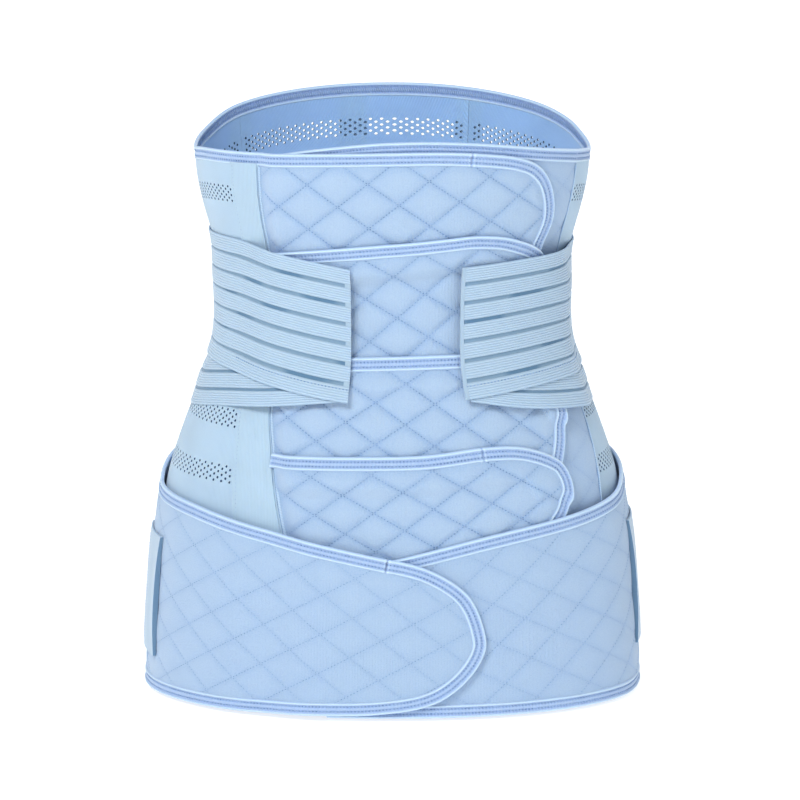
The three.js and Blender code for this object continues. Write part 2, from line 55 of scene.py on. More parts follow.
# Body wrap, knit: three panels of ribbed elastic knit go round the sides and the back. The knit is
# 1.4 mm thick and breathes through bands of small punched holes in six staggered rows.
height = 384.0
hip_wide = 320.0
hip_deep = 210.0
squareness = 2.2
knit_thick = 1.4
wrap_bottom = -0.44 * height
bind_wide = 9.3
cut_in = bind_wide - 2  # from a bound edge to the edge of the cloth inside the binding
gap = 0.35
hole_round = 0.88
hole_columns = 1.42  # degrees from one column of holes to the next
hole_step = 1.95
degree_long = 1.95  # millimetres round the wrap to a degree, near the holes
rib_pitch = 1.05
course_pitch = 0.8
knit_blue = (0.42, 0.565, 0.70)
# The knit's inner face colour: partly its own deeper blue, partly painted shade for the inside of the wrap.
inner_blue = (0.35, 0.54, 0.80)
# Painted shade for the walls of the punched holes.
hole_shade_blue = (0.07, 0.125, 0.22)
SECTIONS = {
    "rise": [-0.682, -0.565, -0.494, -0.423, -0.37, -0.317, -0.282, -0.229, -0.176, -0.123, -0.088,
             -0.053, 0.0, 0.07, 0.123, 0.176, 0.229, 0.339],
    "wide": [0.991, 0.983, 0.972, 0.959, 0.943, 0.924, 0.904, 0.863, 0.816, 0.762, 0.724,
             0.702, 0.696, 0.708, 0.734, 0.769, 0.794, 0.813],
    "front": [0.952, 0.952, 0.95, 0.946, 0.938, 0.924, 0.91, 0.876, 0.838, 0.781, 0.743,
              0.714, 0.695, 0.705, 0.733, 0.771, 0.817, 0.857],
    "back": [0.99, 1.014, 1.021, 1.015, 1.0, 0.971, 0.948, 0.91, 0.852, 0.8, 0.771,
             0.757, 0.752, 0.781, 0.819, 0.867, 0.91, 0.949],
}
LEFT_SEAM = {
    "rise": [-0.448, -0.348, -0.217, -0.142, 0.0, 0.125, 0.33],
    "turn": [-22, -25.7, -31.9, -36.1, -39.6, -40.3, -39.3],
}
RIGHT_SEAM = {
    "rise": [-0.448, -0.314, -0.206, -0.12, 0.0, 0.127, 0.33],
    "turn": [60, 65.2, 69.7, 70, 67.5, 64.9, 67.3],
}
RIM = {
    "turn": [66.8, 78, 90, 104, 118, 138, 180, 230, 252, 270, 290, 320.6],
    "rise": [0.2842, 0.2772, 0.27, 0.276, 0.293, 0.3117, 0.3292, 0.3091, 0.2833, 0.2734, 0.2849, 0.2948],
}


def smooth(v):
    """0 below 0, 1 above 1, and 3v^2 - 2v^3 between them."""
    v = np.clip(v, 0, 1)
    return v * v * (3 - 2 * v)


def ramp(v, start, end):
    """A smooth step from 0 at the start to 1 at the end."""
    return smooth((v - start) / (end - start))


def blend(a, b, share):
    """A straight mix: a where the share is 0, b where it is 1."""
    return a + (b - a) * share


def along(table, key, want, at):
    """One column of a table as a smooth curve of another: a cubic between two rows that takes its
    slopes from their neighbours, and a straight line past either end."""
    x, y = np.array(table[key], float), np.array(table[want], float)
    slope = np.concatenate([[(y[1] - y[0]) / (x[1] - x[0])], (y[2:] - y[:-2]) / (x[2:] - x[:-2]),
                            [(y[-1] - y[-2]) / (x[-1] - x[-2])]])
    at = np.asarray(at, float)
    i = np.clip(np.searchsorted(x, at, side="right") - 1, 0, len(x) - 2)
    h = x[i + 1] - x[i]
    t = np.clip((at - x[i]) / h, 0, 1)
    ends = y[i] * (1 - t) ** 2 * (1 + 2 * t) + y[i + 1] * t * t * (3 - 2 * t)
    inside = ends + h * t * (1 - t) * (slope[i] * (1 - t) - slope[i + 1] * t)
    return inside + slope[0] * np.minimum(at - x[0], 0) + slope[-1] * np.maximum(at - x[-1], 0)


def on_body(turn, z, out):
    """A point of the binder: |x / wide|^p + |y / deep|^p = 1 at each height, where wide and deep are
    smooth curves of the height, and out is added to both."""
    turn, z, out = np.broadcast_arrays(turn, z, out)
    s, c = np.sin(np.radians(turn)), np.cos(np.radians(turn))
    wide = along(SECTIONS, "rise", "wide", z / height) * hip_wide / 2 + out
    front = along(SECTIONS, "rise", "front", z / height)
    back = along(SECTIONS, "rise", "back", z / height)
    deep = np.where(c >= 0, front, back) * hip_deep / 2 + out
    bend = 2 / squareness
    return np.stack([wide * np.sign(s) * np.abs(s) ** bend, -deep * np.sign(c) * np.abs(c) ** bend, z], -1)


round_turns = np.arange(-200.0, 381.0)
round_heights = np.arange(-276.0, 150.0, 6.0)
round_steps = np.diff(on_body(round_turns[None], round_heights[:, None], 4.0), axis=1)
round_girth = np.pad(np.cumsum(np.linalg.norm(round_steps, axis=-1), axis=1), ((0, 0), (1, 0)))
round_girth -= round_girth[:, 200:201]


def girth_to(turn, z):
    """Millimetres round the binder from the middle of the front, from sums over one degree each."""
    t = np.clip(np.asarray(turn, float) + 200, 0, 579.999)
    h = np.clip((np.asarray(z, float) + 276) / 6, 0, len(round_heights) - 1.001)
    i, j = t.astype(int), h.astype(int)
    t, h = t - i, h - j
    low = round_girth[j, i] * (1 - t) + round_girth[j, i + 1] * t
    high = round_girth[j + 1, i] * (1 - t) + round_girth[j + 1, i + 1] * t
    return low * (1 - h) + high * h


def per_degree(turn, z):
    """Millimetres round the binder to one degree, from half a degree before to half a degree after."""
    return girth_to(turn + 0.5, z) - girth_to(turn - 0.5, z)


def turn_at(girth, z):
    """The turn at which girth_to has that value, by five steps of Newton's method."""
    turn = np.clip(girth / 1.9, -198, 378)
    for _ in range(5):
        turn = np.clip(turn + (girth - girth_to(turn, z)) / per_degree(turn, z), -198, 378)
    return turn


def length_along(turn, z):
    """Millimetres along a line from its first point, summed over the body's girth and the height."""
    return np.pad(np.cumsum(np.hypot(np.diff(girth_to(turn, z)), np.diff(z))), (1, 0))


def seam_left(z):
    """Turn of the left seam, where the flaps are sewn to the knit."""
    return along(LEFT_SEAM, "rise", "turn", z / height)


def seam_right(z):
    """Turn of the right seam, where the under panel meets the knit."""
    return along(RIGHT_SEAM, "rise", "turn", z / height)


def wrap_line(line, z):
    """A line down the wrap: it follows the nearer seam, and runs straight far from both."""
    near_left = np.where(line < -40, np.clip((line + 100) / 60, 0, 1), np.clip((20 - line) / 60, 0, 1))
    near_right = np.where(line < 67, np.clip((line - 40) / 27, 0, 1), np.clip((110 - line) / 43, 0, 1))
    return line + (seam_left(z) + 40) * near_left + (seam_right(z) - 67) * near_right


def smooth_edge(table, step=2.4):
    """A centripetal Catmull-Rom curve through a table's rows, as evenly spaced turns and heights."""
    p = np.stack([np.array(table["turn"], float) * 2, np.array(table["rise"], float) * height], -1)
    p = np.concatenate([[2 * p[0] - p[1]], p, [2 * p[-1] - p[-2]]])
    d = np.linalg.norm(np.diff(p, axis=0), axis=1)[:, None] ** 0.5
    p0, p1, p2, p3, d0, d1, d2 = p[:-3], p[1:-2], p[2:-1], p[3:], d[:-2], d[1:-1], d[2:]
    first = ((p1 - p0) / d0 - (p2 - p0) / (d0 + d1) + (p2 - p1) / d1) * d1
    last = ((p2 - p1) / d1 - (p3 - p1) / (d1 + d2) + (p3 - p2) / d2) * d1
    t = np.linspace(0, 1, 60)[:, None, None]
    q = (p1 + first * t + (3 * (p2 - p1) - 2 * first - last) * t * t
         + (2 * (p1 - p2) + first + last) * t ** 3)
    q = np.moveaxis(q, 0, 1).reshape(-1, 2)
    far = np.pad(np.cumsum(np.linalg.norm(np.diff(q, axis=0), axis=1)), (1, 0))
    at = np.linspace(0, far[-1], max(8, int(far[-1] / step)) + 1)
    return np.interp(at, far, q[:, 0]) / 2, np.interp(at, far, q[:, 1])


def inset(path, distance):
    """The edge moved into the cloth, square to its own direction, by one or several distances."""
    turn, z = path
    g = per_degree(turn, z)
    ahead = np.concatenate([[turn[1] - turn[0]], turn[2:] - turn[:-2], [turn[-1] - turn[-2]]]) * g
    up = np.concatenate([[z[1] - z[0]], z[2:] - z[:-2], [z[-1] - z[-2]]])
    long = np.hypot(ahead, up)
    side, down = up / long / g, -ahead / long
    upright = np.zeros(len(turn), bool)
    upright[[0, -1]] = ahead[[0, -1]] > np.abs(up[[0, -1]])
    side = np.where(upright, 0, side)
    down = np.where(upright, -long / np.maximum(ahead, 1e-6), down)
    distance = np.asarray(distance, float)[..., None]
    return turn + side * distance, z + down * distance


def top_at(path, turn):
    """The edge's height at a turn, level past either end."""
    end = int(np.argmax(path[0])) + 1
    return np.interp(turn, path[0][:end], path[1][:end])


class Value:
    """A shader socket that adds its own Math and Mix nodes when it is used in an expression."""

    def __init__(self, tree, socket):
        self.tree = tree
        self.socket = socket

    def node(self, kind, settings=None, put=None, out=0):
        """Any node, from its type, its settings, and the values or links of its sockets."""
        made = self.tree.nodes.new(kind)
        for name, value in (settings or {}).items():
            setattr(made, name, value)
        for name, value in (put or {}).items():
            if isinstance(value, Value):
                self.tree.links.new(value.socket, made.inputs[name])
            else:
                made.inputs[name].default_value = value
        return Value(self.tree, made.outputs[out])

    def sum(self, how, *values):
        """A Math node: the operation and its values."""
        return self.node("ShaderNodeMath", {"operation": how}, dict(enumerate(values)))

    def __add__(self, other):
        return self.sum("ADD", self, other)

    def __sub__(self, other):
        return self.sum("SUBTRACT", self, other)

    def __rsub__(self, other):
        return self.sum("SUBTRACT", other, self)

    def __mul__(self, other):
        return self.sum("MULTIPLY", self, other)

    def __truediv__(self, other):
        return self.sum("DIVIDE", self, other)

    def __rtruediv__(self, other):
        return self.sum("DIVIDE", other, self)

    def __pow__(self, other):
        return self.sum("POWER", self, other)

    def __rpow__(self, other):
        return self.sum("POWER", other, self)

    __radd__ = __add__
    __rmul__ = __mul__

    def wave(self):
        """1 at whole numbers and 0 half-way between them."""
        return self.sum("COSINE", self * math.tau) * 0.5 + 0.5

    def part(self, axis):
        """One number of a vector."""
        return self.node("ShaderNodeSeparateXYZ", put={0: self}, out=axis)

    def tint(self, dark, light):
        """The colour dark where the value is 0 and light where it is 1."""
        return self.node("ShaderNodeMix", {"data_type": "RGBA"},
                         {0: self, 6: (*dark, 1), 7: (*light, 1)}, out=2)

    def noise(self, scale, detail=2.0):
        """Cloudy noise about 0.5, with so many clouds to a millimetre."""
        return self.node("ShaderNodeTexNoise", put={"Vector": self, "Scale": scale, "Detail": detail})

    def mark(self, name):
        """A number that the mesh carries at each point."""
        return self.node("ShaderNodeAttribute", {"attribute_name": name}, out=2)


def new_shader(name, settings):
    """A material and its shader, with values set directly on the shader's sockets."""
    made = bpy.data.materials.new(name)
    made.use_nodes = True
    shader = made.node_tree.nodes["Principled BSDF"]
    for socket, value in settings.items():
        shader.inputs[socket].default_value = value
    return made, shader


def cloth_shader(name, rough=0.85, sheen=0.25):
    """A cloth material, its shader and its UV map, whose unit is a millimetre."""
    made, shader = new_shader(name, {
        "Roughness": rough, "Sheen Weight": sheen, "Sheen Roughness": 0.5, "Specular IOR Level": 0.25,
        "Subsurface Weight": 0.3, "Subsurface Radius": (1.0, 1.4, 2.0), "Subsurface Scale": 0.0013})
    return made, shader, Value(made.node_tree, None).node("ShaderNodeUVMap", {"uv_map": "cloth_mm"})


def paint(shader, colour, relief, depth):
    """Links a colour, and a relief in millimetres as the bump that feeds the normal."""
    tree = colour.tree
    tree.links.new(colour.socket, shader.inputs["Base Color"])
    bump = relief.node("ShaderNodeBump",
                       put={"Height": relief, "Distance": depth / 1000, "Strength": 1.0})
    tree.links.new(bump.socket, shader.inputs["Normal"])


def shaded(colour, by):
    """A colour times a number."""
    return tuple(c * by for c in colour)


knit_cloth, knit_shader, mm = cloth_shader("ribbed knit")
across, up = mm.part(0), mm.part(1)
rib = (across / rib_pitch + mm.noise(0.35) * 0.125).wave()
course = (up / course_pitch + (across / rib_pitch).wave() * 0.5).wave()
fuzz = mm.noise(1.4, 4.0)
cloudy = mm.noise(0.03, 3.0)
knit_tint = cloudy * 0.2 + rib * 0.1 + fuzz * 0.1 + 0.8
# Points marked 0, on the knit's inner face, are painted bluer: partly the brushed face's own colour, partly
# painted shade for the inside of the wrap.
knit_colour = mm.mark("pillow").tint(inner_blue, knit_blue)
paint(knit_shader, knit_colour.node("ShaderNodeVectorMath", {"operation": "SCALE"},
                                    {0: knit_colour, "Scale": knit_tint}),
      rib * 0.7 + course * 0.15 + fuzz * 0.3, depth=0.22)
# The walls of the punched holes are painted dark blue, as the shade inside the holes.
hole_shade, hole_shader = cloth_shader("painted hole shade")[:2]
hole_shader.inputs["Base Color"].default_value = (*hole_shade_blue, 1)


def solid(name, points, faces, finish, slot, replaces=(), girth=None, pillow=None, run=None):
    """A closed mesh from points in millimetres and arrays of faces, with its girth and height as UVs."""
    body = bpy.data.meshes.new(name)
    used = np.unique(np.concatenate([f.ravel() for f in faces]))
    place = np.zeros(len(points), int)
    place[used] = np.arange(len(used))
    body.from_pydata(points[used] / 1000, [], [f for many in faces for f in place[many].tolist()])
    if girth is not None:
        corner = np.zeros(len(body.loops), np.int32)
        body.loops.foreach_get("vertex_index", corner)
        flat = np.stack([girth, points[:, 2]], -1)[used][corner]
        body.uv_layers.new(name="cloth_mm").data.foreach_set("uv", flat.astype(np.float32).ravel())
    for mark, values in (("pillow", pillow), ("run", run)):
        if values is not None:
            made = body.attributes.new(mark, "FLOAT", "POINT")
            made.data.foreach_set("value", values[used].astype(np.float32))
    body.shade_smooth()
    body.set_sharp_from_angle(angle=math.radians(55))
    body.materials.append(finish)
    piece = bpy.data.objects.new(name, body)
    bpy.context.scene.collection.objects.link(piece)
    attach(piece, "root")
    if replaces:
        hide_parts(*replaces)
    return piece


def sheet_faces(rows, columns, skip=None):
    """Quads of a sheet's outer and inner side, and of the wall round its edge."""
    half = rows * columns
    at = np.arange(half).reshape(rows, columns)
    quad = np.stack([at[:-1, :-1], at[1:, :-1], at[1:, 1:], at[:-1, 1:]], -1)
    quad = quad.reshape(-1, 4) if skip is None else quad[~skip]
    ring = np.concatenate([at[:-1, 0], at[-1, :-1], at[:0:-1, -1], at[0, :0:-1]])
    after = np.roll(ring, -1)
    return [quad, quad[:, ::-1] + half, np.stack([after, ring, ring + half, after + half], -1)]


def cloth(name, turn, z, inner, outer, finish, slot, replaces=(), pillow=None, run=None):
    """A closed sheet over a grid of turns and heights, top row first, between two distances out."""
    turn, z, inner, outer = (np.asarray(a, float) for a in np.broadcast_arrays(turn, z, inner, outer))
    points = np.concatenate([on_body(turn, z, d).reshape(-1, 3) for d in (outer, inner)])
    girth = np.tile(girth_to(turn, z).ravel(), 2)
    marks = [None if m is None else np.tile(np.broadcast_to(m, turn.shape).ravel(), 2)
             for m in (pillow, run)]
    return solid(name, points, sheet_faces(*turn.shape), finish, slot, replaces, girth, *marks)


def cut_area(turn, z):
    """Flat area of a grid of cloth in square metres, from its quads' diagonals."""
    p = on_body(turn, z, 3.0) / 1000
    cross = np.cross(p[1:, 1:] - p[:-1, :-1], p[1:, :-1] - p[:-1, 1:])
    return float(np.linalg.norm(cross, axis=-1).sum() / 2)


def lay(turn, z, stretch=1.06):
    """The flat area and width of a stretched sheet, cut narrower than it is worn by the stretch of its
    cloth. Nothing is done with them.
    """
    area = cut_area(*np.broadcast_arrays(np.asarray(turn, float), z)) / stretch
    wide = float(np.ptp(girth_to(turn, z))) / 1000 / stretch


rim_path = smooth_edge(RIM)
rim_cut = inset(rim_path, cut_in)


def rim_low(line):
    """Height of the knit's own top edge, hidden in the rim's binding."""
    return top_at(rim_cut, np.where(line < 60, line + 360, line))


def knit_levels(line):
    """Heights down a line of the knit: plain rows, with six even rows for each band of holes."""
    top = rim_low(line)
    starts = [top - 16.0, np.full_like(top, -0.158 * height), np.full_like(top, -0.25 * height)]
    parts, upper = [], top
    for start, count in zip(starts, (4, 28, 6)):
        parts.append(blend(upper[None], start[None], np.arange(count)[:, None] / count))
        parts.append(start[None] - hole_step * np.arange(6)[:, None])
        upper = start - 6 * hole_step
    parts.append(blend(upper[None], wrap_bottom, np.linspace(0, 1, 13)[:, None]))
    return np.concatenate(parts)


hole_rows = np.concatenate([np.arange(4, 10), np.arange(38, 44), np.arange(50, 56)])


def knit_panel(name, start, end, plain_from=400.0):
    """A knit panel on a grid of cells. Every other cell in the hole rows gets an eight-sided hole, whose
    corners are the cell's middle plus a radius times the cosine and sine of eight angles. The cloth is
    plain past the line plain_from."""
    columns = round((end - start) / hole_columns)
    line = np.linspace(start, end, columns + 1)
    z = knit_levels(line)
    line = np.broadcast_to(line, z.shape)
    turn = wrap_line(line, z)
    rows, width = z.shape
    row, column = np.meshgrid(np.arange(rows - 1), np.arange(width - 1), indexing="ij")
    holed = np.isin(row, hole_rows) & ((row + column) % 2 == 0) & (column > 0) & (column < width - 2)
    holed &= line[:-1, :-1] < plain_from
    j, i = row[holed], column[holed]
    middle_turn = (turn[j, i] + turn[j + 1, i + 1]) / 2
    middle_z = (z[j, i] + z[j + 1, i + 1]) / 2
    angle = np.radians(135 + 45 * np.arange(8))
    hole_turn = middle_turn[:, None] + hole_round / degree_long * np.cos(angle)
    hole_z = middle_z[:, None] + hole_round * np.sin(angle)
    points, girths = [], []
    for out in (knit_thick, 0.0):
        points += [on_body(turn, z, out).reshape(-1, 3), on_body(hole_turn, hole_z, out).reshape(-1, 3)]
        girths += [girth_to(turn, z).ravel(), girth_to(hole_turn, hole_z).ravel()]
    grid, holes = rows * width, hole_z.size
    faces = sheet_faces(rows, width, holed)
    faces[1:] = [np.where(f >= grid, f + holes, f) for f in faces[1:]]
    corner = np.stack([j * width + i, (j + 1) * width + i, (j + 1) * width + i + 1, j * width + i + 1], -1)
    hole = grid + np.arange(holes).reshape(-1, 8)
    for k in range(4):
        a, b = corner[:, k], corner[:, (k + 1) % 4]
        p, q, r = hole[:, 2 * k], hole[:, 2 * k + 1], hole[:, (2 * k + 2) % 8]
        side = np.stack([a, b, r, q, p], -1)
        faces += [side, side[:, ::-1] + grid + holes]
    after = np.roll(hole, -1, axis=1)
    faces.append(np.stack([hole, after, after + grid + holes, hole + grid + holes], -1).reshape(-1, 4))
    # The outer face is marked 1 and the inner face 0, which gives the inner face its bluer colour, partly
    # painted shade.
    piece = solid(name, np.concatenate(points), faces, knit_cloth, "perforated_knit", [name],
                  np.concatenate(girths), np.repeat([1.0, 0.0], grid + holes))
    # The hole walls take the painted hole shade.
    piece.data.materials.append(hole_shade)
    shade = np.zeros(len(piece.data.polygons), np.int32)
    shade[len(shade) - holes:] = 1
    piece.data.polygons.foreach_set("material_index", shade)
    lay(turn, z)


knit_panel("knit_left", -129.95, -40.2, plain_from=-52.0)
knit_panel("knit_back", -200.95, -130.05)
knit_panel("knit_right", 67.1, 158.95)

# Stay channels: four flat tapes of the same knit are stitched down the panels and hold thin stays.
# Two rows of thread run close to the edges of each tape but the front one, which has one row by its left
# edge.
tape_thick = 1.0
channel_wide = 18.0
front_channel_end = -40.85
tape_inner = knit_thick + gap
# Dark thread colour: partly the thread's own blue, partly painted shade of the needle holes at each stitch.
thread_shade_blue = (0.13, 0.23, 0.43)
pale_blue = (0.25, 0.37, 0.60)
CHANNELS = {"stay_channel_front": -47.4, "stay_channel_left": -130.0, "stay_channel_back": -170.0,
            "stay_channel_right": 159.0}

# Each stitch is painted dark: partly the thread's own blue, partly painted shade of its needle holes. Noise
# varies how dark.
thread, thread_shader, mm = cloth_shader("thread", rough=0.6, sheen=0.1)
sunk = mm.noise(0.11, 3.0) * 2.4 - 0.75
paint(thread_shader, sunk.tint(thread_shade_blue, shaded(pale_blue, 1.2)), mm.noise(3.0), depth=0.1)
pale_thread, pale_shader, mm = cloth_shader("pale thread", rough=0.6, sheen=0.1)
sunk = mm.noise(0.15, 3.0) * 2.4 - 0.75
paint(pale_shader, sunk.tint(shaded(pale_blue, 0.85), shaded(pale_blue, 1.3)), mm.noise(3.0), depth=0.1)


def stitches(name, turn, z, ahead_turn, ahead_z, out, slot, long=1.3, thick=0.45, finish=thread):
    """Short threads lying on the cloth, one at each turn and height. Each is a three-sided bar drawn to
    a point at both ends, set along the step ahead and square to the cloth."""
    middle = on_body(turn, z, out)
    ahead = on_body(turn + ahead_turn, z + ahead_z, out) - middle
    rise = on_body(turn, z, out + 1) - middle
    ahead /= np.linalg.norm(ahead, axis=-1, keepdims=True)
    rise -= ahead * (rise * ahead).sum(-1, keepdims=True)
    rise /= np.linalg.norm(rise, axis=-1, keepdims=True)
    side = np.cross(rise, ahead)
    bar = np.array([[-0.5, 0, 0]] + [[x, s, u] for x in (-0.3, 0.3) for s, u in
                                     ((0, 1), (-1, -0.3), (1, -0.3))] + [[0.5, 0, 0]])
    bar = bar * [long, thick, thick]
    points = (middle[:, None] + bar[:, :1] * ahead[:, None] + bar[:, 1:2] * side[:, None]
              + bar[:, 2:] * rise[:, None])
    start = 8 * np.arange(len(points))[:, None]
    ends = np.array([[0, 2, 1], [0, 3, 2], [0, 1, 3], [7, 4, 5], [7, 5, 6], [7, 6, 4]])
    sides = np.array([[1, 2, 5, 4], [2, 3, 6, 5], [3, 1, 4, 6]])
    faces = [(start[:, :, None] + f[None]).reshape(-1, f.shape[1]) for f in (ends, sides)]
    flat = np.repeat(girth_to(turn, z), 8)
    solid(name, points.reshape(-1, 3), faces, finish, slot, girth=flat)


def row_of(turn, z, pitch=2.2):
    """Evenly spaced turns and heights along a line of thread, with the step ahead at each."""
    far = length_along(turn, z)
    at = np.arange(pitch, far[-1] - pitch / 2, pitch)
    t, h = np.interp(at, far, turn), np.interp(at, far, z)
    return t, h, np.interp(at + 0.6, far, turn) - t, np.interp(at + 0.6, far, z) - h


def joined(rows):
    """Several rows of thread as one."""
    return [np.concatenate(p) for p in zip(*rows)]


for name, middle in CHANNELS.items():
    half = channel_wide / 2 / per_degree(middle, 0.2 * height)
    to_seam = name == "stay_channel_front"
    spread = np.array([-1, -0.96, -0.8, -0.72, -0.6, -0.2, 0.2, 0.6, 0.72, 0.8, 0.96, 1])
    line = middle + np.where((spread > 0) & to_seam, front_channel_end - middle, half) * spread
    top = rim_low(line)
    z = blend(top[None], wrap_bottom, np.linspace(0, 1, 91)[:, None])
    turn = wrap_line(np.broadcast_to(line, z.shape), z)
    swell = 0.25 * np.cos(np.pi / 2 * spread) - 0.18 * (np.abs(np.abs(spread) - 0.8) < 0.02)
    piece = cloth(name, turn, z, tape_inner - 0.3, tape_inner + tape_thick - 0.25 + swell, knit_cloth,
                  "perforated_knit", [name], 1.0)
    lay(turn, z)
    rows = [row_of(turn[:, k], z[:, k], pitch=2.6) for k in ((2,) if to_seam else (2, 9))]
    stitches(name + "_thread", *joined(rows), tape_inner + tape_thick - 0.42, "perforated_knit",
             long=1.2, thick=0.24, finish=pale_thread)

# Seam pipings: a thin rolled piping is caught in each side seam, where the quilted front meets the knit.
# Its cross-section is half a circle that stands up from the seam. A close-laid row of dark thread beside it
# paints the shade of the seam's crease.
piping_blue = (0.45, 0.60, 0.78)
piping_cloth, piping_shader, mm = cloth_shader("piping", rough=0.7, sheen=0.3)
twist = (mm.part(1) / 1.6 + mm.part(0) / 3).wave()
paint(piping_shader, twist.tint(shaded(piping_blue, 0.9), piping_blue), twist, depth=0.1)
SEAMS = {"seam_piping_left": (-40.0, 0.27, knit_thick + 0.7), "seam_piping_right": (66.9, 0.258, 2.5)}
for name, (line, top, out) in SEAMS.items():
    z = np.linspace(top * height, wrap_bottom, 120)[:, None]
    lean = np.linspace(-1, 1, 9)
    turn = wrap_line(np.full_like(z, line), z) + 0.65 * lean / per_degree(line, 0)
    cloth(name, turn, z + 0 * lean, 0.0, out - 0.7 + 0.7 * np.sqrt(1 - lean**2), piping_cloth,
          "seam_piping", [name])
    # Close-laid dark thread beside the piping: painted shade in the seam's crease.
    crease_shade = row_of(turn[:, 0] - 0.1, z[:, 0], pitch=1.4)
    stitches(name + "_thread", *crease_shade, out - 0.7, "seam_piping", long=1.6, thick=0.4)

# Rim binding: a stretch tape folded over the top edge of the knit. Both its faces have a fat fold and a
# thin ridge at the inner edge, two rows of thread run along its outside, and inside a cover stitch crosses
# between the rows.
# The binding's blue, used where it is low and as painted shade in its thread rows, and a lighter blue for a
# painted highlight on its ridges.
bind_blue = (0.30, 0.425, 0.685)
ridge_highlight_blue = (0.60, 0.765, 0.90)
bind_steps = np.array([0, 0.1, 0.35, 0.8, 1.35, 1.9, 2.35, 2.75, 3.1, 3.5, 4.0, 4.65, 5.3, 5.8, 6.15,
                       6.5, 6.9, 7.35, 7.8, 8.3, 8.75, 9.1, bind_wide])
thread_rows = (3.25, 6.3)
binding_cloth, binding_shader, mm = cloth_shader("folded binding", rough=0.62, sheen=0.4)
twill = ((mm.part(0) + mm.part(1)) / 0.9).wave()
fuzz = mm.noise(1.6, 3.0)
cloudy = mm.noise(0.08, 2.0)
# The pillow mark is the painted light: highlight on the ridges, shade in the thread rows. The darker bands
# along the run are painted shade in the puckers between stitches.
crest = mm.mark("pillow")
drawn = (mm.mark("run") / 2.2 + mm.noise(0.3) * 0.5).wave() * (1.0 - crest) ** 3
bind_tint = crest * 0.95 + cloudy * 0.1 + fuzz * 0.3 - drawn * 0.2 - 0.18
paint(binding_shader, bind_tint.tint(bind_blue, ridge_highlight_blue), twill * 0.12 + fuzz * 0.4 - drawn * 0.9,
      depth=0.45)


def bell(v, at, wide):
    """exp(-x^2), where x is the distance from the middle over the width."""
    return np.exp(-(((v - at) / wide) ** 2))


def fold(v):
    """Height of a binding above its flat, at a distance from its edge: a fat ridge at the edge, a low
    crown in the middle and a ridge inside, each a bell curve, which dip at the two thread rows."""
    return 0.85 * bell(v, 1.2, 0.95) + 0.3 * bell(v, 4.8, 0.9) + 0.8 * bell(v, 8.0, 0.7) - 0.3


def binding_light_and_shade(v):
    """How light a binding's cloth is painted at a distance from its edge: a painted highlight on both
    ridges, a middle tone between them and painted shade in the two thread rows."""
    light = 0.74 * (bell(v, 0.95, 0.6) + bell(v, 8.1, 0.5)) + 0.12 * bell(v, 4.8, 0.7)
    return np.clip(0.24 + light - 0.24 * sum(bell(v, row, 0.6) for row in thread_rows), 0, 1)


def finer(path, splice):
    """The path with more points for eight millimetres round a splice, and how far along that is."""
    if splice is None:
        return path, 1e9
    far = length_along(*path)
    order = np.argsort(path[0][:int(np.argmax(path[0])) + 1])
    middle = float(np.interp(splice, path[0][order], far[order]))
    at = np.sort(np.concatenate([far, middle + np.linspace(-4, 4, 25)]))
    return (np.interp(at, far, path[0]), np.interp(at, far, path[1])), middle


def binding(name, path, inner, outer, both=False, splice=None):
    """A binding along an edge: the folded profile carried along the path and rounded at its outer
    edge, with threads in its dips. A splice is a narrow dip across it between two low ridges."""
    path, cross = finer(path, splice)
    turn, z = inset(path, bind_steps)
    far = length_along(*path)
    v = bind_steps[:, None]
    pucker = 0.07 * np.sin(far * math.tau / 5.3) * bell(v, 4.6, 3.2)
    low, high = inner(turn, z), outer(turn, z)
    rounding = np.sqrt(1 - (1 - np.clip(v / 1.3, 0, 1)) ** 2)
    notch = bell(far, cross, 0.55)
    lips = bell(far, cross + 1.5, 0.7) + 0.6 * bell(far, cross - 1.5, 0.7)
    face = fold(v) + pucker - 0.6 * notch + 0.3 * lips
    middle = (low + high) / 2
    under = low - (0.8 * face + 0.1 if both else 0.0)
    # The splice's dip is painted darker as shade, and its two low ridges lighter as highlight.
    piece = cloth(name, turn, z, blend(middle, under, rounding), blend(middle, high + face, rounding),
                  binding_cloth, "binding_tape", [name], binding_light_and_shade(v) - 0.6 * notch + 0.25 * lips + 0 * turn,
                  far + 0 * turn)
    run = joined([row_of(*inset(path, v)) for v in thread_rows])
    stitches(name + "_thread", *run, outer(run[0], run[1]) - 0.14, "binding_tape", long=1.15, thick=0.42)


def level(out):
    """The same distance out of the body everywhere, as a function of the turn and the height."""
    return lambda turn, z: out + 0 * turn


binding("rim_binding", rim_path, level(0.0), level(knit_thick),
        both=True)
ladder = row_of(*inset(rim_path, 4.65), pitch=1.5)
stitches("rim_cover_stitch", ladder[0], ladder[1], 0.12 + 0 * ladder[0], 1.0 + 0 * ladder[0], -0.22,
         "binding_tape", long=3.6, thick=0.36, finish=pale_thread)

# Under panel: the quilted panel of the right side. It is soft brushed knit over thin wadding, stitched in
# diamonds. The flaps cover all of it but a strip by the right seam and its own bound top edge.
under_thick = 2.0
stitch_pitch = 2.3
quilt_blue = (0.43, 0.56, 0.72)
# Painted shade for the quilting grooves and the cloth beside bound edges.
groove_shade_blue = (0.30, 0.44, 0.66)
UNDER_TOP = {"turn": [-32.6, -18.8, 1.5, 20.8, 49, 66.75],
             "rise": [0.2948, 0.3091, 0.3224, 0.3185, 0.2977, 0.2844]}
# Each quilting has a crossing of two stitch lines, and the two steps to the next crossings, as
# millimetres round the front and up.
QUILT_1 = {"at": (-75.2, 78.4), "first": (19.53, 16.19), "second": (20.23, -14.45)}

